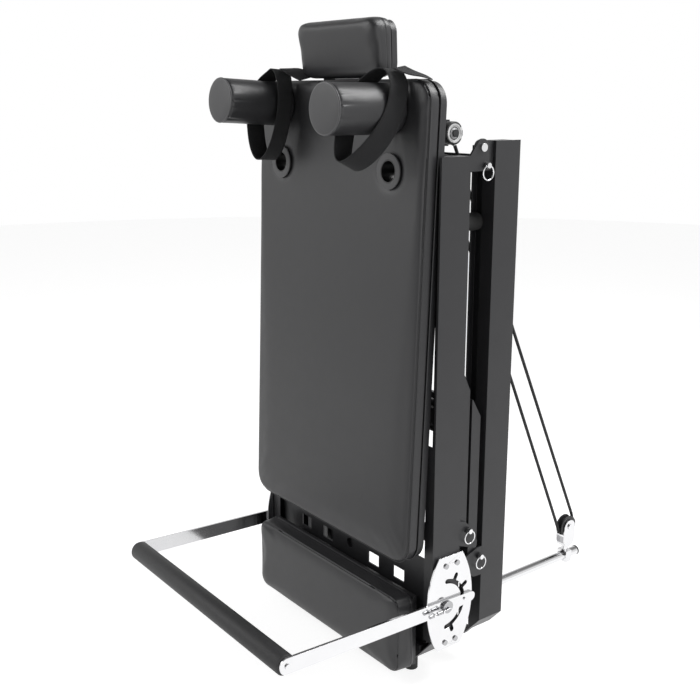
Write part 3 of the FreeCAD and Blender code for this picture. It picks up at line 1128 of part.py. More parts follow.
outer = at.rest_radius
bend = at.rest_round
reach = at.rest_long
rest = turned("shoulder_rest", (
    (0, at.post_radius + at.soft_gap), (0, outer - 4), (1, outer - 1.5), (3, outer),
    (reach - bend, outer), (reach - bend / 2, outer - bend / 8), (reach - bend / 8, outer - bend / 2),
    (reach, outer - bend), (reach, 0), (at.post_long + 1, 0),
    (at.post_long + 1, at.post_radius + at.soft_gap)))
rest.Placement.Rotation = FreeCAD.Rotation(FreeCAD.Vector(0, 0, 1), -90)
rest.setExpression("Placement.Base.x", "Dims.socket_x")
rest.setExpression("Placement.Base.y", bound("pad_face - soft_gap"))
rest.setExpression("Placement.Base.z", "Dims.rest_z")
leaned("shoulder_rests", pair("shoulder_rests", rest))


def strap_outline(grow):
    """The run of a strap over the rest and down to its lower bight, let out by a thickness."""
    top = at.rest_radius + at.soft_gap + grow
    bight = at.strap_round - at.strap_thick + grow
    return hull(((0, 0, top), (0, at.strap_round - at.strap_drop, bight)))


strap_start = at.strap_off - at.pad_face
loop = strap_outline(at.strap_thick).cut(strap_outline(0))
loop.translate(FreeCAD.Vector(strap_start, 0, 0))
band = shaped("strap", loop.extrude(FreeCAD.Vector(at.strap_wide, 0, 0)))
band.Placement = FreeCAD.Placement(FreeCAD.Vector(at.socket_x, 0, at.rest_z),
                                   FreeCAD.Rotation(FreeCAD.Vector(0, 0, 1), -90))
leaned("hand_straps", pair("hand_straps", band))

rear = rear_end + (rear_end - rear_touch).normalize() * (at.rope_radius - 2 * at.soft_gap)
anchor = LEAN.multVec(at_yz(at.rope_pin_y, at.rope_pin_z))
toward = (anchor - rear).normalize()
tail_end = anchor - toward * (4 + at.soft_gap)
tail = shaped("rope_tail", swept([Part.LineSegment(rear + beside, tail_end + beside).toShape()],
                                 at.rope_radius))
node("rope_tails", pair("rope_tails", tail))

# ---- headrest and its hinge --------------------------------------------------------------------
leaf_foot = box("leaf_foot", ("-leaf_half", "leaf_half"), ("pad_seam + 2", "pad_back - 2"),
                ("back_high", "leaf_z - 1.5"))
leaf_lip = box("leaf_lip", ("-leaf_split", "leaf_split"), ("leaf_y", "pad_seam + 3"),
               ("pad_high + 0.8", "leaf_z - 1.5"))
middle_knuckle = rod("middle_knuckle", "x", ("-leaf_split", "leaf_split"), "leaf_y", "leaf_z",
                     "knuckle_radius")
hinge_wire = rod("hinge_wire", "x", ("-leaf_half", "leaf_half"), "leaf_y", "leaf_z", "leaf_pin")
leaned("headrest_hinge", fuse("headrest_hinge", leaf_foot, leaf_lip, middle_knuckle, hinge_wire))

TIP = tilt(at.head_y, at.head_z, at.head_tip)
head_slab = slab("headrest_backing", "head_half", "head_z", "head_tall", "head_seam", "head_board",
                 "head_corner", None)
leaf_arm = box("leaf_arm", ("leaf_split + soft_gap", "leaf_half"), ("leaf_y", "pad_back - 4"),
               ("leaf_top - 1.5", "leaf_top"))
leaf_rise = box("leaf_rise", ("leaf_split + soft_gap", "leaf_half"), ("pad_back - 8", "pad_back - 4"),
                ("leaf_top - 1.5", "leaf_top + 8"))
outer_knuckle = rod("outer_knuckle", "x", ("leaf_split + soft_gap", "leaf_half"), "leaf_y", "leaf_z",
                    "knuckle_radius")
knuckle_bore = rod("knuckle_bore", "x", ("-leaf_half - 1", "leaf_half + 1"), "leaf_y", "leaf_z",
                   "leaf_pin + running_fit")
leaf = fuse("headrest_leaf", leaf_arm, leaf_rise, outer_knuckle)
leaned("headrest_board", cut("headrest_board_bored", fuse(
    "headrest_board_made", tilted("headrest_backing_tipped", head_slab, TIP), leaf,
    mirror("headrest_leaf_left", leaf)), knuckle_bore))
leaned("headrest_pad", tilted("headrest_pad_tipped", slab(
    "headrest_cushion", "head_half", "head_z", "head_tall", "head_y", "head_thick", "head_corner",
    "head_round"), TIP))

# ---- checks and export -------------------------------------------------------------------------
doc.recompute()
for item in doc.Objects:
    for state in ("Invalid", "Error"):
        if state in item.State:
            raise RuntimeError(f"{item.Name} did not recompute: {item.State}")
os.makedirs("parts", exist_ok=True)
for name, piece in NODES.items():
    shape = piece.Shape
    if shape.isNull() or not shape.isValid() or not shape.Solids:
        raise RuntimeError(f"{name} has no valid solid")
for name, piece in NODES.items():
    piece.Shape.exportStep(f"parts/{name}.step")
    print(name, len(piece.Shape.Solids), round(piece.Shape.Volume / 1000, 1))
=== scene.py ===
import json
import math

import bmesh
import bpy
from mathutils import Matrix, Vector, noise


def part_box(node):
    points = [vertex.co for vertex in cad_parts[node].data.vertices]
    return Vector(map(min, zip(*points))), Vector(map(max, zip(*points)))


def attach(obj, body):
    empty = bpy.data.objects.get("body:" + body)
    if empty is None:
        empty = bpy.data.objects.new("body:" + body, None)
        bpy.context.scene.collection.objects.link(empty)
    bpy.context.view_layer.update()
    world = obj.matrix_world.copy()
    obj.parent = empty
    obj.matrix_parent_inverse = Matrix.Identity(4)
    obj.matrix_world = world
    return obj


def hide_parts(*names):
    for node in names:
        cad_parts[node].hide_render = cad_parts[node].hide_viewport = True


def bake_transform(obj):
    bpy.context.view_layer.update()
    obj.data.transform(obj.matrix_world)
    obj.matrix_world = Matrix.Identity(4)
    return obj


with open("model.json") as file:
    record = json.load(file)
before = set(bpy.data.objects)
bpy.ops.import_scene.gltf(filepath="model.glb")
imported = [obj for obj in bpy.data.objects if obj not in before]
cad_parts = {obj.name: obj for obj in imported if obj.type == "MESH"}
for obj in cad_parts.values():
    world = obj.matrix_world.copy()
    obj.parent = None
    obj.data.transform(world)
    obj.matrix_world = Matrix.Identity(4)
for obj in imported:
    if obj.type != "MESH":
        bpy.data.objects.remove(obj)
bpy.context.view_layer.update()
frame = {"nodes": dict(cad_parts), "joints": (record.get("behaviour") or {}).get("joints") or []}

scene = bpy.context.scene

# ---- the view, the floor and the light ---------------------------------------------------------
# The folded machine stands on a pale studio floor in soft, even light, seen from its front
# right-hand side.
camera = bpy.data.objects.new("camera", bpy.data.cameras.new("camera"))
scene.collection.objects.link(camera)
camera.location = (1.86338, -1.51775, 1.36881)
camera.rotation_euler = (math.radians(75.449), 0.0, math.radians(52.349))
camera.data.sensor_width = 36.0
camera.data.lens = 50.96
camera.data.clip_end = 50.0
scene.camera = camera
scene.view_settings.view_transform = "Standard"


def soft_lamp(name, place, aim, width, power):
    """A large square lamp that looks from one point at another."""
    lamp = bpy.data.objects.new(name, bpy.data.lights.new(name, "AREA"))
    scene.collection.objects.link(lamp)
    lamp.location = place
    lamp.rotation_euler = (Vector(aim) - Vector(place)).to_track_quat("-Z", "Y").to_euler()
    lamp.data.size = width
    lamp.data.energy = power


soft_lamp("key_lamp", (-1.8, -2.8, 2.6), (0.0, 0.0, 0.8), 2.2, 44.0)
soft_lamp("side_lamp", (3.2, -0.6, 1.3), (0.1, 0.0, 0.5), 2.4, 26.0)
soft_lamp("rear_lamp", (1.1, 1.5, 3.4), (0.1, -0.1, 1.2), 1.6, 90.0)

world = bpy.data.worlds.new("studio")
scene.world = world
world.use_nodes = True
rays = world.node_tree.nodes.new("ShaderNodeLightPath")
background = world.node_tree.nodes["Background"]
background.inputs["Color"].default_value = (1.0, 1.0, 1.0, 1.0)


def seen_or_mirrored(tree, rays):
    """1 where a ray comes from the camera, a mirror or glass."""
    first = tree.nodes.new("ShaderNodeMath")
    first.operation = "MAXIMUM"
    tree.links.new(rays.outputs["Is Camera Ray"], first.inputs[0])
    tree.links.new(rays.outputs["Is Glossy Ray"], first.inputs[1])
    second = tree.nodes.new("ShaderNodeMath")
    second.operation = "MAXIMUM"
    tree.links.new(first.outputs[0], second.inputs[0])
    tree.links.new(rays.outputs["Is Transmission Ray"], second.inputs[1])
    return second.outputs[0]


# The walls of the studio are white up to eye level.  The ceiling is darker, and so is the
# side that the machine's front right-hand corner looks at, so that bright metal gets edges.
VIEWER = (0.74, -0.56, 0.37)
studio = world.node_tree
heading = studio.nodes.new("ShaderNodeTexCoord").outputs["Generated"]
rise = studio.nodes.new("ShaderNodeSeparateXYZ")
studio.links.new(heading, rise.inputs["Vector"])
towards = studio.nodes.new("ShaderNodeVectorMath")
towards.operation = "DOT_PRODUCT"
towards.inputs[1].default_value = VIEWER
studio.links.new(heading, towards.inputs[0])


def shade(value, start, stop, bright, dark):
    """The studio's brightness, falling from bright to dark as a value goes from start to stop."""
    fall = studio.nodes.new("ShaderNodeMapRange")
    fall.interpolation_type = "SMOOTHSTEP"
    for socket, number in (("From Min", start), ("From Max", stop), ("To Min", bright), ("To Max", dark)):
        fall.inputs[socket].default_value = number
    studio.links.new(value, fall.inputs["Value"])
    return fall.outputs["Result"]


def joined(operation, first, second):
    """Two brightnesses of the studio put together."""
    pair = studio.nodes.new("ShaderNodeMath")
    pair.operation = operation
    studio.links.new(first, pair.inputs[0])
    studio.links.new(second, pair.inputs[1])
    return pair.outputs[0]


walls = joined("MULTIPLY", shade(rise.outputs["Z"], 0.30, 0.75, 1.0, 0.22),
               shade(towards.outputs["Value"], 0.80, 0.95, 1.0, 0.10))
lit = joined("MULTIPLY", walls, shade(seen_or_mirrored(studio, rays), 0.0, 1.0, 0.42, 1.0))
studio.links.new(joined("MAXIMUM", lit, rays.outputs["Is Camera Ray"]), background.inputs["Strength"])

bm = bmesh.new()
bmesh.ops.create_circle(bm, cap_ends=True, segments=64, radius=9.0)
floor_mesh = bpy.data.meshes.new("floor")
bm.to_mesh(floor_mesh)
bm.free()
floor = bpy.data.objects.new("floor", floor_mesh)
scene.collection.objects.link(floor)
floor_coat = bpy.data.materials.new("studio_floor")
floor_coat.use_nodes = True
tree = floor_coat.node_tree
floor_shader = tree.nodes["Principled BSDF"]
floor_shader.inputs["Base Color"].default_value = (0.50, 0.50, 0.50, 1.0)
floor_shader.inputs["Roughness"].default_value = 0.9
floor_shader.inputs["Emission Color"].default_value = (1.0, 1.0, 1.0, 1.0)
glow = tree.nodes.new("ShaderNodeMath")
glow.operation = "MULTIPLY"
glow.inputs[1].default_value = 0.84
tree.links.new(seen_or_mirrored(tree, tree.nodes.new("ShaderNodeLightPath")), glow.inputs[0])
tree.links.new(glow.outputs[0], floor_shader.inputs["Emission Strength"])
floor_mesh.materials.append(floor_coat)

# ---- ropes -------------------------------------------------------------------------------------
# A dark braided cord 8 mm thick runs on each side from the guide on the foot half, down
# round the pulley of the riser and back up to the fold hinge, pulled tight.  Its short end
# goes on from the hinge to a pin on the carriage.


def texture_group(name):
    """An empty node group that takes a place and a scale, and puts out a mask between two
    shades, a mask between two roughnesses and a height."""
    group = bpy.data.node_groups.new(name, "ShaderNodeTree")
    group.interface.new_socket("Vector", in_out="INPUT", socket_type="NodeSocketVector")
    group.interface.new_socket("Scale", in_out="INPUT", socket_type="NodeSocketFloat")
    for output in ("Tone", "Gloss", "Height"):
        group.interface.new_socket(output, in_out="OUTPUT", socket_type="NodeSocketFloat")
    return group, group.nodes.new("NodeGroupInput"), group.nodes.new("NodeGroupOutput")


def reckon(tree, operation, first, second):
    """A Math node between two sockets or numbers."""
    sum_node = tree.nodes.new("ShaderNodeMath")
    sum_node.operation = operation
    for socket, value in zip(sum_node.inputs, (first, second)):
        if isinstance(value, (int, float)):
            socket.default_value = value
        elif value is not None:
            tree.links.new(value, socket)
    return sum_node.outputs[0]


def cloudy(tree, place, scale, detail):
    """A Noise node's value over a place."""
    cloud = tree.nodes.new("ShaderNodeTexNoise")
    cloud.inputs["Detail"].default_value = detail
    tree.links.new(place, cloud.inputs["Vector"])
    if isinstance(scale, (int, float)):
        cloud.inputs["Scale"].default_value = scale
    else:
        tree.links.new(scale, cloud.inputs["Scale"])
    return cloud.outputs["Fac"]


# Yarns that cross over and under each other, for rope and webbing: X of the place counts the
# yarns across the piece, and Y those along it.
interlaced, taken, given = texture_group("interlaced_yarns")
parts = interlaced.nodes.new("ShaderNodeSeparateXYZ")
interlaced.links.new(taken.outputs["Vector"], parts.inputs["Vector"])
TURN = 2 * math.pi
rising = reckon(interlaced, "MULTIPLY",
                reckon(interlaced, "ADD", parts.outputs["X"], parts.outputs["Y"]), TURN)
falling = reckon(interlaced, "MULTIPLY",
                 reckon(interlaced, "SUBTRACT", parts.outputs["X"], parts.outputs["Y"]), TURN)
crossing = reckon(interlaced, "MULTIPLY", reckon(interlaced, "SINE", rising, None),
                  reckon(interlaced, "SINE", falling, None))
lift = reckon(interlaced, "ABSOLUTE", crossing, None)
interlaced.links.new(reckon(interlaced, "POWER", lift, 0.6), given.inputs["Height"])
# The colour follows the height: the hollows between the yarns are painted darker as shade, and their crests
# lighter.
interlaced.links.new(reckon(interlaced, "MULTIPLY", lift, 0.9), given.inputs["Tone"])
interlaced.links.new(cloudy(interlaced, taken.outputs["Vector"], taken.outputs["Scale"], 3.0),
                     given.inputs["Gloss"])


def coat(name, group, place, scale, shades, roughness, relief, metal=0.0):
    """A Principled material: two shades and a roughness range driven by a texture group,
    with its height as a bump.  Place is a socket of Texture Coordinate and how the Mapping
    node stretches it, and relief is the strength and distance of the bump."""
    made = bpy.data.materials.new(name)
    made.use_nodes = True
    tree = made.node_tree
    shader = tree.nodes["Principled BSDF"]
    where = tree.nodes.new("ShaderNodeTexCoord")
    mapping = tree.nodes.new("ShaderNodeMapping")
    mapping.inputs["Scale"].default_value = place[1]
    tree.links.new(where.outputs[place[0]], mapping.inputs["Vector"])
    texture = tree.nodes.new("ShaderNodeGroup")
    texture.node_tree = group
    texture.inputs["Scale"].default_value = scale
    tree.links.new(mapping.outputs["Vector"], texture.inputs["Vector"])
    mix = tree.nodes.new("ShaderNodeMix")
    mix.data_type = "RGBA"
    mix.inputs[6].default_value = (*shades[0], 1.0)
    mix.inputs[7].default_value = (*shades[1], 1.0)
    tree.links.new(texture.outputs["Tone"], mix.inputs[0])
    tree.links.new(mix.outputs[2], shader.inputs["Base Color"])
    gloss = tree.nodes.new("ShaderNodeMapRange")
    gloss.inputs["To Min"].default_value = roughness[0]
    gloss.inputs["To Max"].default_value = roughness[1]
    tree.links.new(texture.outputs["Gloss"], gloss.inputs["Value"])
    tree.links.new(gloss.outputs["Result"], shader.inputs["Roughness"])
    bump = tree.nodes.new("ShaderNodeBump")
    bump.inputs["Strength"].default_value = relief[0]
    bump.inputs["Distance"].default_value = relief[1]
    tree.links.new(texture.outputs["Height"], bump.inputs["Height"])
    tree.links.new(bump.outputs["Normal"], shader.inputs["Normal"])
    shader.inputs["Metallic"].default_value = metal
    return made


ROPE_THICK = 0.008
ROPE_X = 0.240
# Y and Z of each station: hinge end, three corners round the pulley with the run into and
# out of them, guide end.
ROPE_ROUTE = ((0.0268, 1.2557), (0.4862, 0.2850), (0.5114, 0.2318), (0.4881, 0.1984), (0.4563, 0.2034),
              (0.4420, 0.2390), (-0.0160, 1.2360))
rope_coat = coat("braided_cord", interlaced, ("UV", (520.0, 3.0, 1.0)), 40.0,
                 ((0.010, 0.010, 0.011), (0.034, 0.034, 0.036)), (0.6, 0.8), (0.7, 0.0006))


def rope(name, side):
    """One cord: hinge end, long rear strand, three corners round the pulley, front strand."""
    line = bpy.data.curves.new(name, "CURVE")
    line.dimensions = "3D"
    line.bevel_depth = ROPE_THICK / 2
    line.bevel_resolution = 4
    line.resolution_u = 24
    line.use_fill_caps = True
    strand = line.splines.new("NURBS")
    strand.points.add(len(ROPE_ROUTE) - 1)
    for point, (deep, tall) in zip(strand.points, ROPE_ROUTE):
        point.co = (side * ROPE_X, deep, tall, 1.0)
    strand.order_u = 3
    strand.use_endpoint_u = True
    made = bpy.data.objects.new(name, line)
    scene.collection.objects.link(made)
    line.materials.append(rope_coat)
    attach(made, "head_frame")
    return made


for side, word in ((1, "right"), (-1, "left")):
    cord = rope(f"pulled_rope_{word}", side)
    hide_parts(f"rope_{word}")

SHARP = math.radians(35.0)


def finished(name, bm, material, body, node):
    """Turns a bmesh into a hard-edged piece that rides on a body and stands for a CAD node."""
    mesh = bpy.data.meshes.new(name)
    bm.to_mesh(mesh)
    bm.free()
    mesh.materials.append(material)
    mesh.polygons.foreach_set("use_smooth", [True] * len(mesh.polygons))
    mesh.set_sharp_from_angle(angle=SHARP)
    piece = bpy.data.objects.new(name, mesh)
    scene.collection.objects.link(piece)
    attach(piece, body)
    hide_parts(node)


TAIL_RADIUS = 0.0039
TAIL_INSET = 0.004
low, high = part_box("rope_tails")
tail_start = Vector((0.0, high.y - TAIL_INSET, low.z + TAIL_INSET))
tail_stop = Vector((0.0, low.y + TAIL_INSET, high.z - TAIL_INSET))
along = tail_stop - tail_start
bm = bmesh.new()
for side in (1, -1):
    bmesh.ops.create_cone(
        bm, cap_ends=True, segments=16, radius1=TAIL_RADIUS, radius2=TAIL_RADIUS, depth=along.length,
        matrix=Matrix.Translation((tail_start + tail_stop) / 2 + Vector((side * ROPE_X, 0.0, 0.0)))
        @ along.to_track_quat("Z", "Y").to_matrix().to_4x4())
rope_end_coat = rope_coat.copy()
rope_end_coat.name = "braided_cord_end"
finished("rope_ends", bm, rope_end_coat, "carriage", "rope_tails")

# ---- painted steel of both halves --------------------------------------------------------------
# The rails, end tubes, cross bars, brackets and legs are welded steel tube and plate in a
# satin black powder coat with its faint orange peel.
powder, taken, given = texture_group("powder_coat")
peel = cloudy(powder, taken.outputs["Vector"], taken.outputs["Scale"], 2.0)
fine = cloudy(powder, taken.outputs["Vector"], 2600.0, 1.0)
powder.links.new(reckon(powder, "ADD", reckon(powder, "MULTIPLY", peel, 0.7),
                        reckon(powder, "MULTIPLY", fine, 0.3)), given.inputs["Height"])
powder.links.new(cloudy(powder, taken.outputs["Vector"], 7.0, 4.0), given.inputs["Tone"])
powder.links.new(cloudy(powder, taken.outputs["Vector"], 24.0, 5.0), given.inputs["Gloss"])
OBJECT = ("Object", (1.0, 1.0, 1.0))
black_paint = coat("black_powder_coat", powder, OBJECT, 520.0,
                   ((0.016, 0.016, 0.018), (0.026, 0.026, 0.028)), (0.36, 0.50), (0.25, 0.0004))


def dress(names, material, edge):
    """Gives CAD nodes a finish and breaks their sharp edges by a small radius."""
    for name in names:
        piece = frame["nodes"][name]
        piece.data.materials.clear()
        piece.data.materials.append(material)
        piece.data.polygons.foreach_set("use_smooth", [True] * len(piece.data.polygons))
        weld = piece.modifiers.new("weld", "WELD")
        weld.merge_threshold = 0.00002
        broken = piece.modifiers.new("edge", "BEVEL")
        broken.width = edge
        broken.segments = 2
        broken.limit_method = "ANGLE"
        broken.angle_limit = SHARP
        evened = piece.modifiers.new("normals", "WEIGHTED_NORMAL")
        evened.keep_sharp = True


dress(("foot_rails", "head_rails", "foot_end_tube", "head_end_tube"), black_paint, 0.0009)
dress(("foot_cross_bars", "head_cross_bars", "spring_plate", "hinge_plates", "hinge_lugs",
       "foot_leg_brackets", "head_leg_brackets", "foot_legs", "head_legs", "carriage_frame",
       "wheel_brackets"), black_paint, 0.0007)

# ---- bright steel ------------------------------------------------------------------------------
# Adjuster plates, foot bar arms, risers, forks and ring pins are chrome plated, and the bolts
# of the foot bar are darker.  The axle, the posts and the tube are zinc plated and duller.
plated, taken, given = texture_group("plated_steel")
plated.links.new(cloudy(plated, taken.outputs["Vector"], 14.0, 6.0), given.inputs["Tone"])
plated.links.new(cloudy(plated, taken.outputs["Vector"], 60.0, 6.0), given.inputs["Gloss"])
plated.links.new(cloudy(plated, taken.outputs["Vector"], taken.outputs["Scale"], 3.0),
                 given.inputs["Height"])
chrome = coat("chrome_plate", plated, OBJECT, 90.0, ((0.70, 0.70, 0.71), (0.78, 0.78, 0.79)),
              (0.06, 0.14), (0.02, 0.0001), 1.0)
bolt_steel = coat("bolt_steel", plated, OBJECT, 300.0, ((0.36, 0.36, 0.37), (0.50, 0.50, 0.51)),
                  (0.12, 0.26), (0.05, 0.0001), 1.0)
zinc = coat("zinc_plate", plated, OBJECT, 700.0, ((0.42, 0.42, 0.43), (0.58, 0.58, 0.59)),
            (0.24, 0.42), (0.12, 0.0003), 1.0)
dress(("adjuster_plates", "foot_bar_arms"), chrome, 0.0006)
dress(("hinge_bolts", "riser_tubes", "pulley_forks", "hinge_pin_right", "hinge_pin_left",
       "foot_leg_pin_right", "foot_leg_pin_left", "head_leg_pin_right", "head_leg_pin_left"),
      chrome, 0.0005)
dress(("adjuster_bolts", "foot_bar_bolts", "latch_plunger_right", "latch_plunger_left"),
      bolt_steel, 0.0005)
dress(("foot_axle", "shoulder_posts", "headrest_hinge", "foot_bar_tube"), zinc, 0.0004)

# ---- moulded plastic and rubber ----------------------------------------------------------------
# Riser sockets, caps, pulleys and the back of the platform are moulded black plastic; feet
# and fold bumpers are soft black rubber.
moulded, taken, given = texture_group("moulded_plastic")
moulded.links.new(cloudy(moulded, taken.outputs["Vector"], 30.0, 4.0), given.inputs["Tone"])
moulded.links.new(cloudy(moulded, taken.outputs["Vector"], 90.0, 5.0), given.inputs["Gloss"])
moulded.links.new(cloudy(moulded, taken.outputs["Vector"], taken.outputs["Scale"], 2.0),
                  given.inputs["Height"])
black_plastic = coat("black_plastic", moulded, OBJECT, 1800.0,
                     ((0.018, 0.018, 0.019), (0.030, 0.030, 0.032)), (0.34, 0.50), (0.3, 0.0002))
rubber = coat("black_rubber", moulded, OBJECT, 900.0,
              ((0.010, 0.010, 0.010), (0.020, 0.020, 0.020)), (0.62, 0.80), (0.5, 0.0004))
dress(("riser_sockets", "riser_caps", "pulley_wheel_right", "pulley_wheel_left"), black_plastic, 0.0006)
dress(("platform_board",), black_plastic, 0.001)
dress(("rubber_feet", "frame_bumpers"), rubber, 0.0015)

# ---- grommets and wheels -----------------------------------------------------------------------
# Each grommet is a grey flange round a socket, and its deep hole is painted near-black as shade.  Each
# carriage wheel is a black tyre on a white plastic hub with a steel bearing.  Their rings follow the
# distance from their axis.


def ringed(name, centre, across, rings, shades, roughness):
    """A moulded finish with rings of colour round an axis through a centre: across keeps the
    two directions in which the distance counts, and a ring is its inner and outer radius,
    its colour, and 1 where it is metal."""
    made = coat(name, moulded, OBJECT, 1200.0, shades, roughness, (0.25, 0.0002))
    tree = made.node_tree
    shader = tree.nodes["Principled BSDF"]
    where = tree.nodes.new("ShaderNodeTexCoord")
    mirrored = tree.nodes.new("ShaderNodeVectorMath")
    mirrored.operation = "ABSOLUTE"
    tree.links.new(where.outputs["Object"], mirrored.inputs[0])
    centred = tree.nodes.new("ShaderNodeVectorMath")
    centred.operation = "SUBTRACT"
    centred.inputs[1].default_value = [abs(value) for value in centre]
    tree.links.new(mirrored.outputs["Vector"], centred.inputs[0])
    flat = tree.nodes.new("ShaderNodeVectorMath")
    flat.operation = "MULTIPLY"
    flat.inputs[1].default_value = across
    tree.links.new(centred.outputs["Vector"], flat.inputs[0])
    far = tree.nodes.new("ShaderNodeVectorMath")
    far.operation = "LENGTH"
    tree.links.new(flat.outputs["Vector"], far.inputs[0])
    painted = shader.inputs["Base Color"].links[0].from_socket
    metal = None
    for inner, outer, shade_of_ring, is_metal in rings:
        mask = reckon(tree, "MULTIPLY", reckon(tree, "GREATER_THAN", far.outputs["Value"], inner),
                      reckon(tree, "LESS_THAN", far.outputs["Value"], outer))
        mix = tree.nodes.new("ShaderNodeMix")
        mix.data_type = "RGBA"
        tree.links.new(mask, mix.inputs[0])
        tree.links.new(painted, mix.inputs[6])
        mix.inputs[7].default_value = (*shade_of_ring, 1.0)
        painted = mix.outputs[2]
        if is_metal:
            metal = mask if metal is None else reckon(tree, "MAXIMUM", metal, mask)
    tree.links.new(painted, shader.inputs["Base Color"])
    if metal is not None:
        tree.links.new(metal, shader.inputs["Metallic"])
    return made


REST_X = 0.206
# Inside this radius the grommet is painted near-black as the shade of its deep socket.
HOLE_SHADE_RADIUS = 0.0258
low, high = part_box("grommets")
grommet = ringed("grommet_and_painted_hole_shade", (REST_X, 0.0, (low.z + high.z) / 2), (1.0, 0.0, 1.0),
                 ((0.0, HOLE_SHADE_RADIUS, (0.006, 0.006, 0.006), 0),),
                 ((0.060, 0.060, 0.062), (0.080, 0.080, 0.083)), (0.26, 0.40))
dress(("grommets",), grommet, 0.001)

# Hub, bearing ring and axle end, as shares of the tyre's radius.
HUB = (0.56, 0.82)
BEARING = (0.32, 0.48)
AXLE_END = 0.26
for name in ("foot_wheel_right", "foot_wheel_left", "head_wheel_right", "head_wheel_left"):
    low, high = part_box(name)
    tyre = (high.z - low.z) / 2
    wheel = ringed(
        name + "_finish", (0.0, (low.y + high.y) / 2, (low.z + high.z) / 2), (0.0, 1.0, 1.0),
        ((HUB[0] * tyre, HUB[1] * tyre, (0.78, 0.78, 0.78), 0),
         (BEARING[0] * tyre, BEARING[1] * tyre, (0.50, 0.50, 0.51), 1),
         (0.0, AXLE_END * tyre, (0.86, 0.86, 0.87), 1)),
        ((0.012, 0.012, 0.012), (0.020, 0.020, 0.021)), (0.36, 0.52))
    dress((name,), wheel, 0.0005)
dress(("guide_roller_right", "guide_roller_left"), black_plastic, 0.0005)

# ---- springs -----------------------------------------------------------------------------------
# Four extension springs of hard-drawn wire hang between the hooks of the spring plate and
# the tabs of the foot axle, close-coiled while the carriage is parked.
SPRINGS_ACROSS = (-0.145, -0.0485, 0.0485, 0.145)
SPRING_Y = -0.066
COIL_LOW = 0.222
COIL_HIGH = 0.340
WIRE = 0.0012
COIL_RADIUS = 0.0072
TURNS = 44
STEPS = 12
low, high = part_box("springs")
bm = bmesh.new()
for across in SPRINGS_ACROSS:
    section = bmesh.ops.create_circle(
        bm, segments=6, radius=WIRE,
        matrix=Matrix.Translation((across + COIL_RADIUS, SPRING_Y, COIL_LOW))
        @ Matrix.Rotation(math.pi / 2, 4, "X"))
    loop = list({edge for vert in section["verts"] for edge in vert.link_edges})
    bmesh.ops.spin(bm, geom=loop, cent=(across, SPRING_Y, COIL_LOW), axis=(0, 0, 1),
                   dvec=(0, 0, (COIL_HIGH - COIL_LOW) / (TURNS * STEPS)), angle=TURN * TURNS,
                   steps=TURNS * STEPS, use_duplicate=False)
    for start, stop in ((low.z, COIL_LOW + WIRE), (COIL_HIGH - WIRE, high.z)):
        bmesh.ops.create_cone(bm, cap_ends=True, segments=10, radius1=WIRE, radius2=WIRE, depth=stop - start,
                              matrix=Matrix.Translation((across, SPRING_Y, (start + stop) / 2)))
    for end in (COIL_LOW, COIL_HIGH):
        bmesh.ops.create_cone(bm, cap_ends=True, segments=8, radius1=WIRE, radius2=WIRE, depth=COIL_RADIUS,
                              matrix=Matrix.Translation((across + COIL_RADIUS / 2, SPRING_Y, end))
                              @ Matrix.Rotation(math.pi / 2, 4, "Y"))
bmesh.ops.recalc_face_normals(bm, faces=bm.faces)
mesh = bpy.data.meshes.new("coil_springs")
bm.to_mesh(mesh)
bm.free()
mesh.materials.append(zinc)
mesh.polygons.foreach_set("use_smooth", [True] * len(mesh.polygons))
coils = bpy.data.objects.new("coil_springs", mesh)
scene.collection.objects.link(coils)
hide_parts("springs")
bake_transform(coils)

# ---- platform pad ------------------------------------------------------------------------------
# The standing platform is firm foam on a board, in charcoal vinyl with a fine grain, sewn
# from a face panel and a side band and stapled at the back.
leather, taken, given = texture_group("vinyl_grain")
cells = leather.nodes.new("ShaderNodeTexVoronoi")
cells.feature = "SMOOTH_F1"
leather.links.new(taken.outputs["Vector"], cells.inputs["Vector"])
leather.links.new(taken.outputs["Scale"], cells.inputs["Scale"])
creased = cloudy(leather, taken.outputs["Vector"], 260.0, 4.0)
leather.links.new(reckon(leather, "ADD", reckon(leather, "MULTIPLY", cells.outputs["Distance"], 0.6),
                         reckon(leather, "MULTIPLY", creased, 0.4)), given.inputs["Height"])
leather.links.new(cloudy(leather, taken.outputs["Vector"], 5.0, 5.0), given.inputs["Tone"])
leather.links.new(cloudy(leather, taken.outputs["Vector"], 40.0, 5.0), given.inputs["Gloss"])
vinyl = coat("charcoal_vinyl", leather, OBJECT, 1050.0,
             ((0.022, 0.022, 0.024), (0.031, 0.031, 0.033)), (0.36, 0.48), (0.35, 0.0004))
# Cloth pressure, the size of a cover's cells, the frames it is blown for, how deep its back
# is held to the board and how wide round a bore, and the width and depth of a seam's groove.
PRESSURE = 4.0
CELL = 0.006
BLOWN_FOR = 20
HELD_BACK = 0.007
HELD_ROUND = 0.012
SOFT_BACK = 0.004
SEAM_WIDE = 0.0022
SEAM_DEEP = 0.0026
NEAR_SEAM = 0.012


def object_of(name, bm):
    """A plain object made from a bmesh."""
    mesh = bpy.data.meshes.new(name)
    bm.to_mesh(mesh)
    bm.free()
    made = bpy.data.objects.new(name, mesh)
    scene.collection.objects.link(made)
    return made


def applied(piece):
    """Bakes a piece's modifiers into its mesh."""
    ready = bpy.data.meshes.new_from_object(piece.evaluated_get(bpy.context.evaluated_depsgraph_get()))
    piece.modifiers.clear()
    piece.data = ready


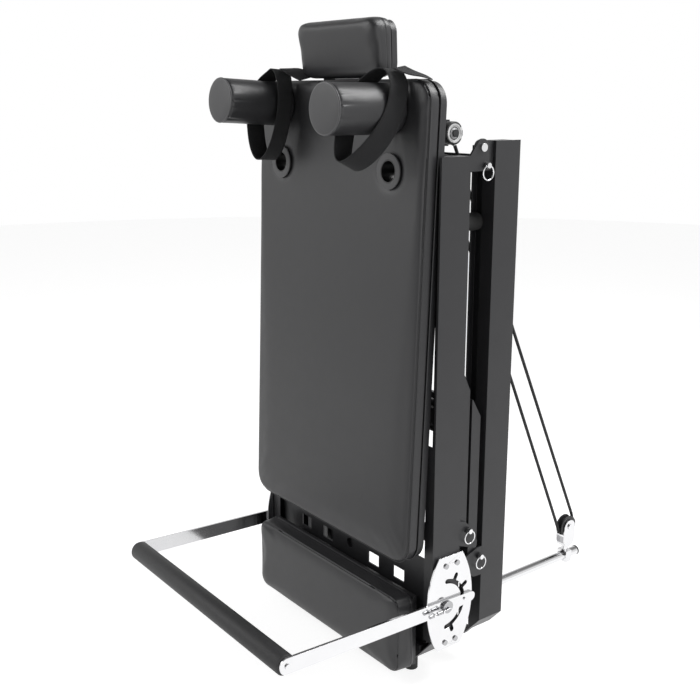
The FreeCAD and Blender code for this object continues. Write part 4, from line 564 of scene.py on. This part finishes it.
def upholstered(name, low, high, corner, rim, crown, seams, bores=()):
    """A foam slab sewn into a vinyl cover, its face towards -Y: cut a little small, blown up
    by cloth pressure with its back held to the board, and drawn in along its seams."""
    bm = bmesh.new()
    size = Vector(high) - Vector(low)
    size.y -= crown
    middle = (Vector(low) + Vector(high)) / 2 + Vector((0, crown / 2, 0))
    bmesh.ops.create_cube(bm, size=1.0, matrix=Matrix.Translation(middle) @ Matrix.Diagonal((*size, 1.0)))
    upright = [edge for edge in bm.edges
               if abs(edge.verts[0].co.x - edge.verts[1].co.x) + abs(edge.verts[0].co.z - edge.verts[1].co.z)
               < 1e-6]
    bmesh.ops.bevel(bm, geom=upright, offset=corner, segments=12, affect="EDGES", profile=0.5, material=-1)
    front = low[1] + crown
    rim_edges = [edge for edge in bm.edges if all(abs(vert.co.y - front) < 1e-6 for vert in edge.verts)]
    bmesh.ops.bevel(bm, geom=rim_edges, offset=rim, segments=6, affect="EDGES", profile=0.5, material=-1)
    bmesh.ops.triangulate(bm, faces=[face for face in bm.faces if len(face.verts) > 4])
    pad = object_of(name, bm)
    for across, tall, radius in bores:
        bm = bmesh.new()
        bmesh.ops.create_cone(bm, cap_ends=True, segments=48, radius1=radius, radius2=radius, depth=0.2,
                              matrix=Matrix.Translation((across, middle.y, tall))
                              @ Matrix.Rotation(math.pi / 2, 4, "X"))
        borer = object_of("borer", bm)
        drilled = pad.modifiers.new("bore", "BOOLEAN")
        drilled.object = borer
        drilled.solver = "EXACT"
        applied(pad)
        bpy.data.objects.remove(borer)
    cells = pad.modifiers.new("cells", "REMESH")
    cells.mode = "VOXEL"
    cells.voxel_size = CELL
    applied(pad)
    rest = [vert.co.copy() for vert in pad.data.vertices]
    held = pad.vertex_groups.new(name="held")
    for number, co in enumerate(rest):
        near_bore = any(math.hypot(co.x - across, co.z - tall) < radius + HELD_ROUND
                        for across, tall, radius in bores)
        if co.y > high[1] - HELD_BACK or near_bore:
            held.add([number], 1.0, "REPLACE")
    cloth = pad.modifiers.new("cloth", "CLOTH")
    cloth.settings.use_pressure = True
    cloth.settings.uniform_pressure_force = PRESSURE
    cloth.settings.effector_weights.gravity = 0.0
    cloth.settings.vertex_group_mass = "held"
    cloth.point_cache.frame_start = 1
    cloth.point_cache.frame_end = BLOWN_FOR
    for step in range(1, BLOWN_FOR + 1):
        scene.frame_set(step)
    applied(pad)
    for vert, co in zip(pad.data.vertices, rest):
        moved = vert.co - co
        if moved.length > crown:
            vert.co = co + moved * (crown / moved.length)
    pad.vertex_groups.clear()
    scene.frame_set(1)
    bm = bmesh.new()
    bm.from_mesh(pad.data)
    for _ in range(3):
        bmesh.ops.smooth_vert(bm, verts=[vert for vert in bm.verts if vert.co.y < high[1] - SOFT_BACK],
                              factor=0.5, use_axis_x=True, use_axis_y=True, use_axis_z=True)
    for vert in bm.verts:
        vert.co.x = min(max(vert.co.x, low[0]), high[0])
        vert.co.y = min(max(vert.co.y, low[1]), high[1])
        vert.co.z = min(max(vert.co.z, low[2]), high[2])
    bm.to_mesh(pad.data)
    bm.free()
    finer = pad.modifiers.new("finer", "SUBSURF")
    finer.levels = 1
    finer.render_levels = 1
    applied(pad)
    bm = bmesh.new()
    bm.from_mesh(pad.data)
    for seam in seams:
        for offset in (-SEAM_WIDE, 0.0, SEAM_WIDE):
            near = [face for face in bm.faces if abs(face.calc_center_median().y - seam) < NEAR_SEAM]
            geom = list({*near, *(edge for face in near for edge in face.edges),
                         *(vert for face in near for vert in face.verts)})
            bmesh.ops.bisect_plane(bm, geom=geom, dist=1e-6, plane_co=(0, seam + offset, 0),
                                   plane_no=(0, 1, 0))
    bm.normal_update()
    for seam in seams:
        for vert in bm.verts:
            if abs(vert.co.y - seam) < 0.0004 and abs(vert.normal.y) < 0.6:
                vert.co -= vert.normal * SEAM_DEEP
    bm.to_mesh(pad.data)
    bm.free()
    return pad


def settled(pad, body, node):
    pad.data.materials.clear()
    pad.data.materials.append(vinyl)
    pad.data.polygons.foreach_set("use_smooth", [True] * len(pad.data.polygons))
    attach(pad, body)
    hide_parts(node)


low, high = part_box("platform_pad")
pad = upholstered("platform_cushion", low, high, 0.030, 0.008, 0.004, (low.y + 0.010, high.y - 0.012))
settled(pad, "foot_frame", "platform_pad")

# ---- carriage pad ------------------------------------------------------------------------------
# The long cushion of the carriage: firm foam in the same vinyl, pierced for the two sockets
# and the two posts, on a padded board wrapped separately and piped where the two meet.

# The parked carriage leans back by the turn that its levelling joint takes away when the
# machine is opened.  Its soft pieces are made level and leaned once.
level = next(joint for joint in frame["joints"] if joint["name"] == "carriage_level")
pivot = Vector(level["pos_m"])
LEAN = (Matrix.Translation(pivot) @ Matrix.Rotation(-math.radians(level["range_deg"][1]), 4, "X")
        @ Matrix.Translation(-pivot))
# How long the handles of a curve are for a quarter circle, as a share of its radius.
ROUND_HANDLE = 0.5523
PAD_HALF = 0.315
PAD_LOW = 0.315
PAD_HIGH = 1.394
PAD_FACE = -0.1672
PAD_SEAM = -0.1262
SOCKET_Z = 1.201
REST_Z = 1.336
PAD_CORNER = 0.050


def piping(name, inset, deep, thick):
    """A thin vinyl-covered cord sewn into a seam all round the cushion, just inside its edge."""
    across = PAD_HALF - inset - PAD_CORNER
    low = PAD_LOW + inset + PAD_CORNER
    high = PAD_HIGH - inset - PAD_CORNER
    line = bpy.data.curves.new(name, "CURVE")
    line.dimensions = "3D"
    line.bevel_depth = thick
    line.bevel_resolution = 2
    line.resolution_u = 10
    ring = line.splines.new("BEZIER")
    ring.bezier_points.add(7)
    ring.use_cyclic_u = True
    reach = PAD_CORNER * ROUND_HANDLE
    for number, (side, tall) in enumerate(((1, low), (1, high), (-1, high), (-1, low))):
        centre = Vector((side * across, deep, tall))
        for end in (0, 1):
            turn = math.pi / 2 * (number - 1 + end)
            out = Vector((math.cos(turn), 0, math.sin(turn)))
            along = Vector((-math.sin(turn), 0, math.cos(turn)))
            point = ring.bezier_points[2 * number + end]
            point.co = centre + out * PAD_CORNER
            point.handle_left = point.co - along * reach
            point.handle_right = point.co + along * reach
    drawn = bpy.data.objects.new(name + "_line", line)
    scene.collection.objects.link(drawn)
    mesh = bpy.data.meshes.new_from_object(drawn.evaluated_get(bpy.context.evaluated_depsgraph_get()))
    bpy.data.objects.remove(drawn)
    mesh.name = name
    mesh.transform(LEAN)
    mesh.materials.clear()
    mesh.materials.append(vinyl)
    mesh.polygons.foreach_set("use_smooth", [True] * len(mesh.polygons))
    made = bpy.data.objects.new(name, mesh)
    scene.collection.objects.link(made)
    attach(made, "carriage")


bores = [(side * REST_X, tall, radius) for side in (1, -1)
         for tall, radius in ((SOCKET_Z, 0.0265), (REST_Z, 0.0155))]
pad = upholstered("carriage_cushion", (-PAD_HALF, PAD_FACE, PAD_LOW), (PAD_HALF, PAD_SEAM, PAD_HIGH),
                  PAD_CORNER, 0.010, 0.003, (PAD_FACE + 0.012,), bores)
pad.data.transform(LEAN)
settled(pad, "carriage", "carriage_pad")
piping("carriage_piping", 0.0008, PAD_SEAM, 0.0019)
piping("front_piping", 0.0010, PAD_FACE + 0.0145, 0.0011)
board_vinyl = vinyl.copy()
board_vinyl.name = "board_vinyl"
dress(("carriage_pad_back",), board_vinyl, 0.004)
dress(("headrest_board",), board_vinyl, 0.003)

# ---- headrest ----------------------------------------------------------------------------------
# A small vinyl cushion on its own board, hinged to the head end of the carriage pad and
# tipped a little forward.
HEAD_HALF = 0.147
HEAD_LOW = 1.3968
HEAD_TALL = 0.127
HEAD_WEDGE = 0.015
HEAD_FACE = -0.1589
HEAD_THICK = 0.042
HEAD_TIP = 4.8
TIP = (Matrix.Translation((0, HEAD_FACE, HEAD_LOW)) @ Matrix.Rotation(math.radians(HEAD_TIP), 4, "X")
       @ Matrix.Translation((0, -HEAD_FACE, -HEAD_LOW)))
pad = upholstered("headrest_cushion", (-HEAD_HALF, HEAD_FACE, HEAD_LOW),
                  (HEAD_HALF, HEAD_FACE + HEAD_THICK, HEAD_LOW + HEAD_TALL), 0.028, 0.010, 0.0025,
                  (HEAD_FACE + 0.028,))
for vert in pad.data.vertices:
    forward = (HEAD_FACE + HEAD_THICK - vert.co.y) / HEAD_THICK
    vert.co.y -= HEAD_WEDGE * forward * (vert.co.z - HEAD_LOW) / HEAD_TALL
pad.data.transform(LEAN @ TIP)
settled(pad, "headrest", "headrest_pad")

# ---- shoulder rests ----------------------------------------------------------------------------
# Two foam rolls in vinyl on steel posts.  The end disc is sewn in with a piped seam that
# gathers the tube, so that it puckers near the seam.

# Where along the roll the tube ends at its piping and where the end disc begins, its skin's
# radius, the radius of its bore's edge that stays unpuckered, and the folds round it.
TUBE_END = 0.1737
PIPING_FROM = 0.1741
DISC_FROM = 0.1787
SKIN = 0.0536
UNPUCKERED = 0.03
RIDGES = 11
# The end disc's vinyl is painted lighter than the tube's, standing in for the brighter light on the disc.
painted_light_disc_vinyl = coat("painted_light_disc_vinyl", leather, OBJECT, 1050.0,
                  ((0.036, 0.036, 0.038), (0.050, 0.050, 0.053)), (0.40, 0.52), (0.35, 0.0004))
# The piping's vinyl is painted far lighter than the cover's, as a highlight along the seam ring.
painted_highlight_piping_vinyl = coat("painted_highlight_piping_vinyl", leather, OBJECT, 1050.0,
                    ((0.075, 0.075, 0.078), (0.110, 0.110, 0.114)), (0.36, 0.48), (0.35, 0.0004))


def roll(name, side, seed, droop, rise, size):
    """One roll on a post: it droops by an angle from its root, sits a rise above the middle
    of its post, and its radius is multiplied by a size."""
    bm = bmesh.new()
    profile = [(0.1508, 0.0), (0.1508, 0.0146), (0.0004, 0.0146), (0.0004, 0.049), (0.0015, 0.0522),
               (0.0045, SKIN)]
    profile += [(0.0045 + 0.1625 * step / 26, SKIN) for step in range(1, 27)]
    profile += [(0.1700, 0.0532), (0.1722, 0.0524), (0.1736, 0.0508), (0.1741, 0.0520), (0.1752, 0.0532),
                (0.1764, 0.0536), (0.1776, 0.0532), (0.1785, 0.0520), (0.1787, 0.0503), (0.1790, 0.0485),
                (0.1800, 0.040), (0.1806, 0.028), (0.1809, 0.014), (0.1810, 0.0)]
    ring = [bm.verts.new((radius, PAD_FACE - along, 0.0)) for along, radius in profile]
    for first, second in zip(ring, ring[1:]):
        bm.edges.new((first, second))
    bmesh.ops.spin(bm, geom=bm.edges[:] + bm.verts[:], cent=(0, 0, 0), axis=(0, 1, 0), angle=TURN,
                   steps=144, use_merge=True, use_duplicate=False)
    bmesh.ops.remove_doubles(bm, verts=bm.verts, dist=1e-6)
    bmesh.ops.recalc_face_normals(bm, faces=bm.faces)
    for vert in bm.verts:
        along = PAD_FACE - vert.co.y
        radius = math.hypot(vert.co.x, vert.co.z)
        if radius < UNPUCKERED:
            continue
        turn = math.atan2(vert.co.z, vert.co.x)
        drift = noise.noise(Vector((math.cos(turn) * 1.5, math.sin(turn) * 1.5, seed))) * 2.6
        fold = max(0.0, math.sin(turn * RIDGES + drift * 2.0)) ** 3
        strength = 0.6 + 0.9 * noise.noise(Vector((math.cos(turn) * 2, math.sin(turn) * 2, seed + 7)))
        if along < TUBE_END:
            depth = 0.0052 * fold * max(0.0, strength) * math.exp(-(TUBE_END - along) / 0.017)
            near_pad = 0.0022 * fold * math.exp(-along / 0.014)
            hollow = 0.0010 * (1 + noise.noise(vert.co * 24 + Vector((seed, 0, 0)))) / 2
            scale = 1 - (depth + near_pad + hollow) / radius
            vert.co.x *= scale
            vert.co.z *= scale
    place = (Matrix.Translation((side * REST_X, PAD_FACE, REST_Z + rise))
             @ Matrix.Rotation(math.radians(droop), 4, "X") @ Matrix.Diagonal((size, 1.0, size, 1.0))
             @ Matrix.Translation((0, -PAD_FACE, 0)))
    bmesh.ops.transform(bm, matrix=place, verts=bm.verts)
    for face in bm.faces:
        along = PAD_FACE - (place.inverted() @ face.calc_center_median()).y
        if along > PIPING_FROM:
            face.material_index = 2 if along < DISC_FROM else 1
    made = object_of(name, bm)
    made.data.transform(LEAN)
    made.data.materials.append(vinyl)
    made.data.materials.append(painted_light_disc_vinyl)
    made.data.materials.append(painted_highlight_piping_vinyl)
    made.data.polygons.foreach_set("use_smooth", [True] * len(made.data.polygons))
    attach(made, "carriage")
    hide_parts("shoulder_rests")


roll("shoulder_roll_right", 1, 3.0, 1.8, -0.004, 1.0)
roll("shoulder_roll_left", -1, 11.0, -1.0, 0.002, 0.965)

# ---- hand straps -------------------------------------------------------------------------------
# Black woven webbing, 48 mm wide and 2.2 mm thick, sewn into loops that hang over the
# shoulder rests; the loops are slack and twist a little, and their sewn tails stand off.
webbing = coat("black_webbing", interlaced, ("UV", (24.0, 250.0, 1.0)), 60.0,
               ((0.007, 0.007, 0.008), (0.022, 0.022, 0.024)), (0.62, 0.85), (0.8, 0.0008))
STRAP_WIDE = 0.048
STRAP_THICK = 0.0022


def strap(name, side, stations, closed=True):
    """A band of webbing through stations: a point beside the roll's axis, in level X and Z,
    its distance in front of the pad, and how far its width turns about its own run."""
    loop = list(stations) + [stations[0]] if closed else list(stations)
    centres = [Vector((side * REST_X + across, PAD_FACE - out, REST_Z + up)) for across, up, out, _ in loop]
    bm = bmesh.new()
    bm.loops.layers.uv.new("weave")
    bmesh.ops.create_grid(bm, x_segments=1, y_segments=len(loop) - 1, size=0.5, calc_uvs=True)
    bm.verts.ensure_lookup_table()
    for number, centre in enumerate(centres):
        before = centres[number - 1] if number else centres[-2] if closed else centre
        after = centres[number + 1] if number + 1 < len(centres) else centres[1] if closed else centre
        ahead = (after - before).normalized()
        width = Vector((0, -1, 0))
        width = (width - ahead * width.dot(ahead)).normalized()
        width = Matrix.Rotation(math.radians(loop[number][3]), 3, ahead) @ width
        for end, reach in ((0, -STRAP_WIDE / 2), (1, STRAP_WIDE / 2)):
            bm.verts[2 * number + end].co = centre + width * reach
    if closed:
        bmesh.ops.remove_doubles(bm, verts=bm.verts, dist=1e-5)
    made = object_of(name, bm)
    smoother = made.modifiers.new("smoother", "SUBSURF")
    smoother.levels = 3
    smoother.render_levels = 3
    smoother.boundary_smooth = "PRESERVE_CORNERS"
    thicker = made.modifiers.new("thicker", "SOLIDIFY")
    thicker.thickness = STRAP_THICK
    thicker.offset = 0.0
    applied(made)
    made.data.transform(LEAN)
    made.data.materials.clear()
    made.data.materials.append(webbing)
    made.data.polygons.foreach_set("use_smooth", [True] * len(made.data.polygons))
    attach(made, "carriage")
    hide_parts("hand_straps")


RIGHT_LOOP = (
    (0.010, 0.0800, 0.024, 0.0), (0.036, 0.0700, 0.022, 0.0), (0.054, 0.0420, 0.026, 0.0),
    (0.0590, 0.004, 0.036, 0.0), (0.055, -0.038, 0.050, 12.0), (0.040, -0.082, 0.074, 24.0),
    (0.016, -0.116, 0.098, 30.0), (-0.012, -0.128, 0.110, 22.0), (-0.030, -0.112, 0.106, 8.0),
    (-0.042, -0.070, 0.094, 0.0), (-0.060, -0.020, 0.070, 0.0), (-0.056, 0.030, 0.046, 0.0),
    (-0.024, 0.0660, 0.030, 0.0))
RIGHT_TAIL = (
    (0.030, 0.0800, 0.010, 0.0), (0.052, 0.0700, 0.000, 0.0), (0.076, 0.0640, -0.008, 0.0),
    (0.092, 0.0590, -0.012, -10.0))
LEFT_LOOP = (
    (0.026, 0.0860, 0.028, 0.0), (0.046, 0.0640, 0.030, -8.0), (0.056, 0.0260, 0.032, -14.0),
    (0.0600, -0.016, 0.036, -14.0), (0.057, -0.058, 0.042, -10.0), (0.046, -0.098, 0.047, -6.0),
    (0.024, -0.130, 0.052, 0.0), (0.002, -0.132, 0.058, 0.0), (-0.018, -0.104, 0.060, 0.0),
    (-0.038, -0.062, 0.054, 0.0), (-0.0580, -0.010, 0.046, 0.0), (-0.053, 0.0300, 0.038, 0.0),
    (-0.024, 0.0620, 0.030, 0.0), (0.006, 0.0760, 0.026, 0.0))
LEFT_TAIL = (
    (0.030, 0.0840, 0.016, 0.0), (0.050, 0.0800, 0.008, 12.0), (0.072, 0.0720, 0.002, 16.0),
    (0.092, 0.0620, -0.004, 8.0))
strap("hand_strap_right", 1, RIGHT_LOOP)
strap("hand_strap_left", -1, LEFT_LOOP)
strap("hand_strap_right_tail", 1, RIGHT_TAIL, closed=False)
strap("hand_strap_left_tail", -1, LEFT_TAIL, closed=False)

# ---- foot bar grip -----------------------------------------------------------------------------
# A closed-cell foam sleeve pushed over the steel tube of the foot bar, its ends rounded.
foam, taken, given = texture_group("foam_skin")
pores = foam.nodes.new("ShaderNodeTexVoronoi")
foam.links.new(taken.outputs["Vector"], pores.inputs["Vector"])
foam.links.new(taken.outputs["Scale"], pores.inputs["Scale"])
foam.links.new(pores.outputs["Distance"], given.inputs["Height"])
foam.links.new(cloudy(foam, taken.outputs["Vector"], 120.0, 5.0), given.inputs["Tone"])
foam.links.new(cloudy(foam, taken.outputs["Vector"], 300.0, 3.0), given.inputs["Gloss"])
foam_coat = coat("black_foam", foam, OBJECT, 900.0, ((0.016, 0.016, 0.017), (0.030, 0.030, 0.031)),
                 (0.46, 0.62), (0.4, 0.0004))
GRIP_BORE = 0.0131
GRIP_ROUND = 0.003
low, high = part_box("foot_bar_grip")
centre = (low + high) / 2
outer = (high.z - low.z) / 2
ends = high.x
half = [(ends, GRIP_BORE), (ends, outer - GRIP_ROUND), (ends - 0.0008, outer - 0.0011),
        (ends - GRIP_ROUND, outer)]
profile = half + [(0.0, outer)] + [(-across, radius) for across, radius in reversed(half)]
bm = bmesh.new()
ring = [bm.verts.new((across, centre.y, centre.z + radius)) for across, radius in profile]
for first, second in zip(ring, ring[1:] + ring[:1]):
    bm.edges.new((first, second))
bmesh.ops.spin(bm, geom=bm.edges[:] + bm.verts[:], cent=centre, axis=(1, 0, 0), angle=TURN, steps=48,
               use_merge=True, use_duplicate=False)
bmesh.ops.remove_doubles(bm, verts=bm.verts, dist=1e-6)
bmesh.ops.recalc_face_normals(bm, faces=bm.faces)
finished("foam_grip", bm, foam_coat, "foot_bar", "foot_bar_grip")
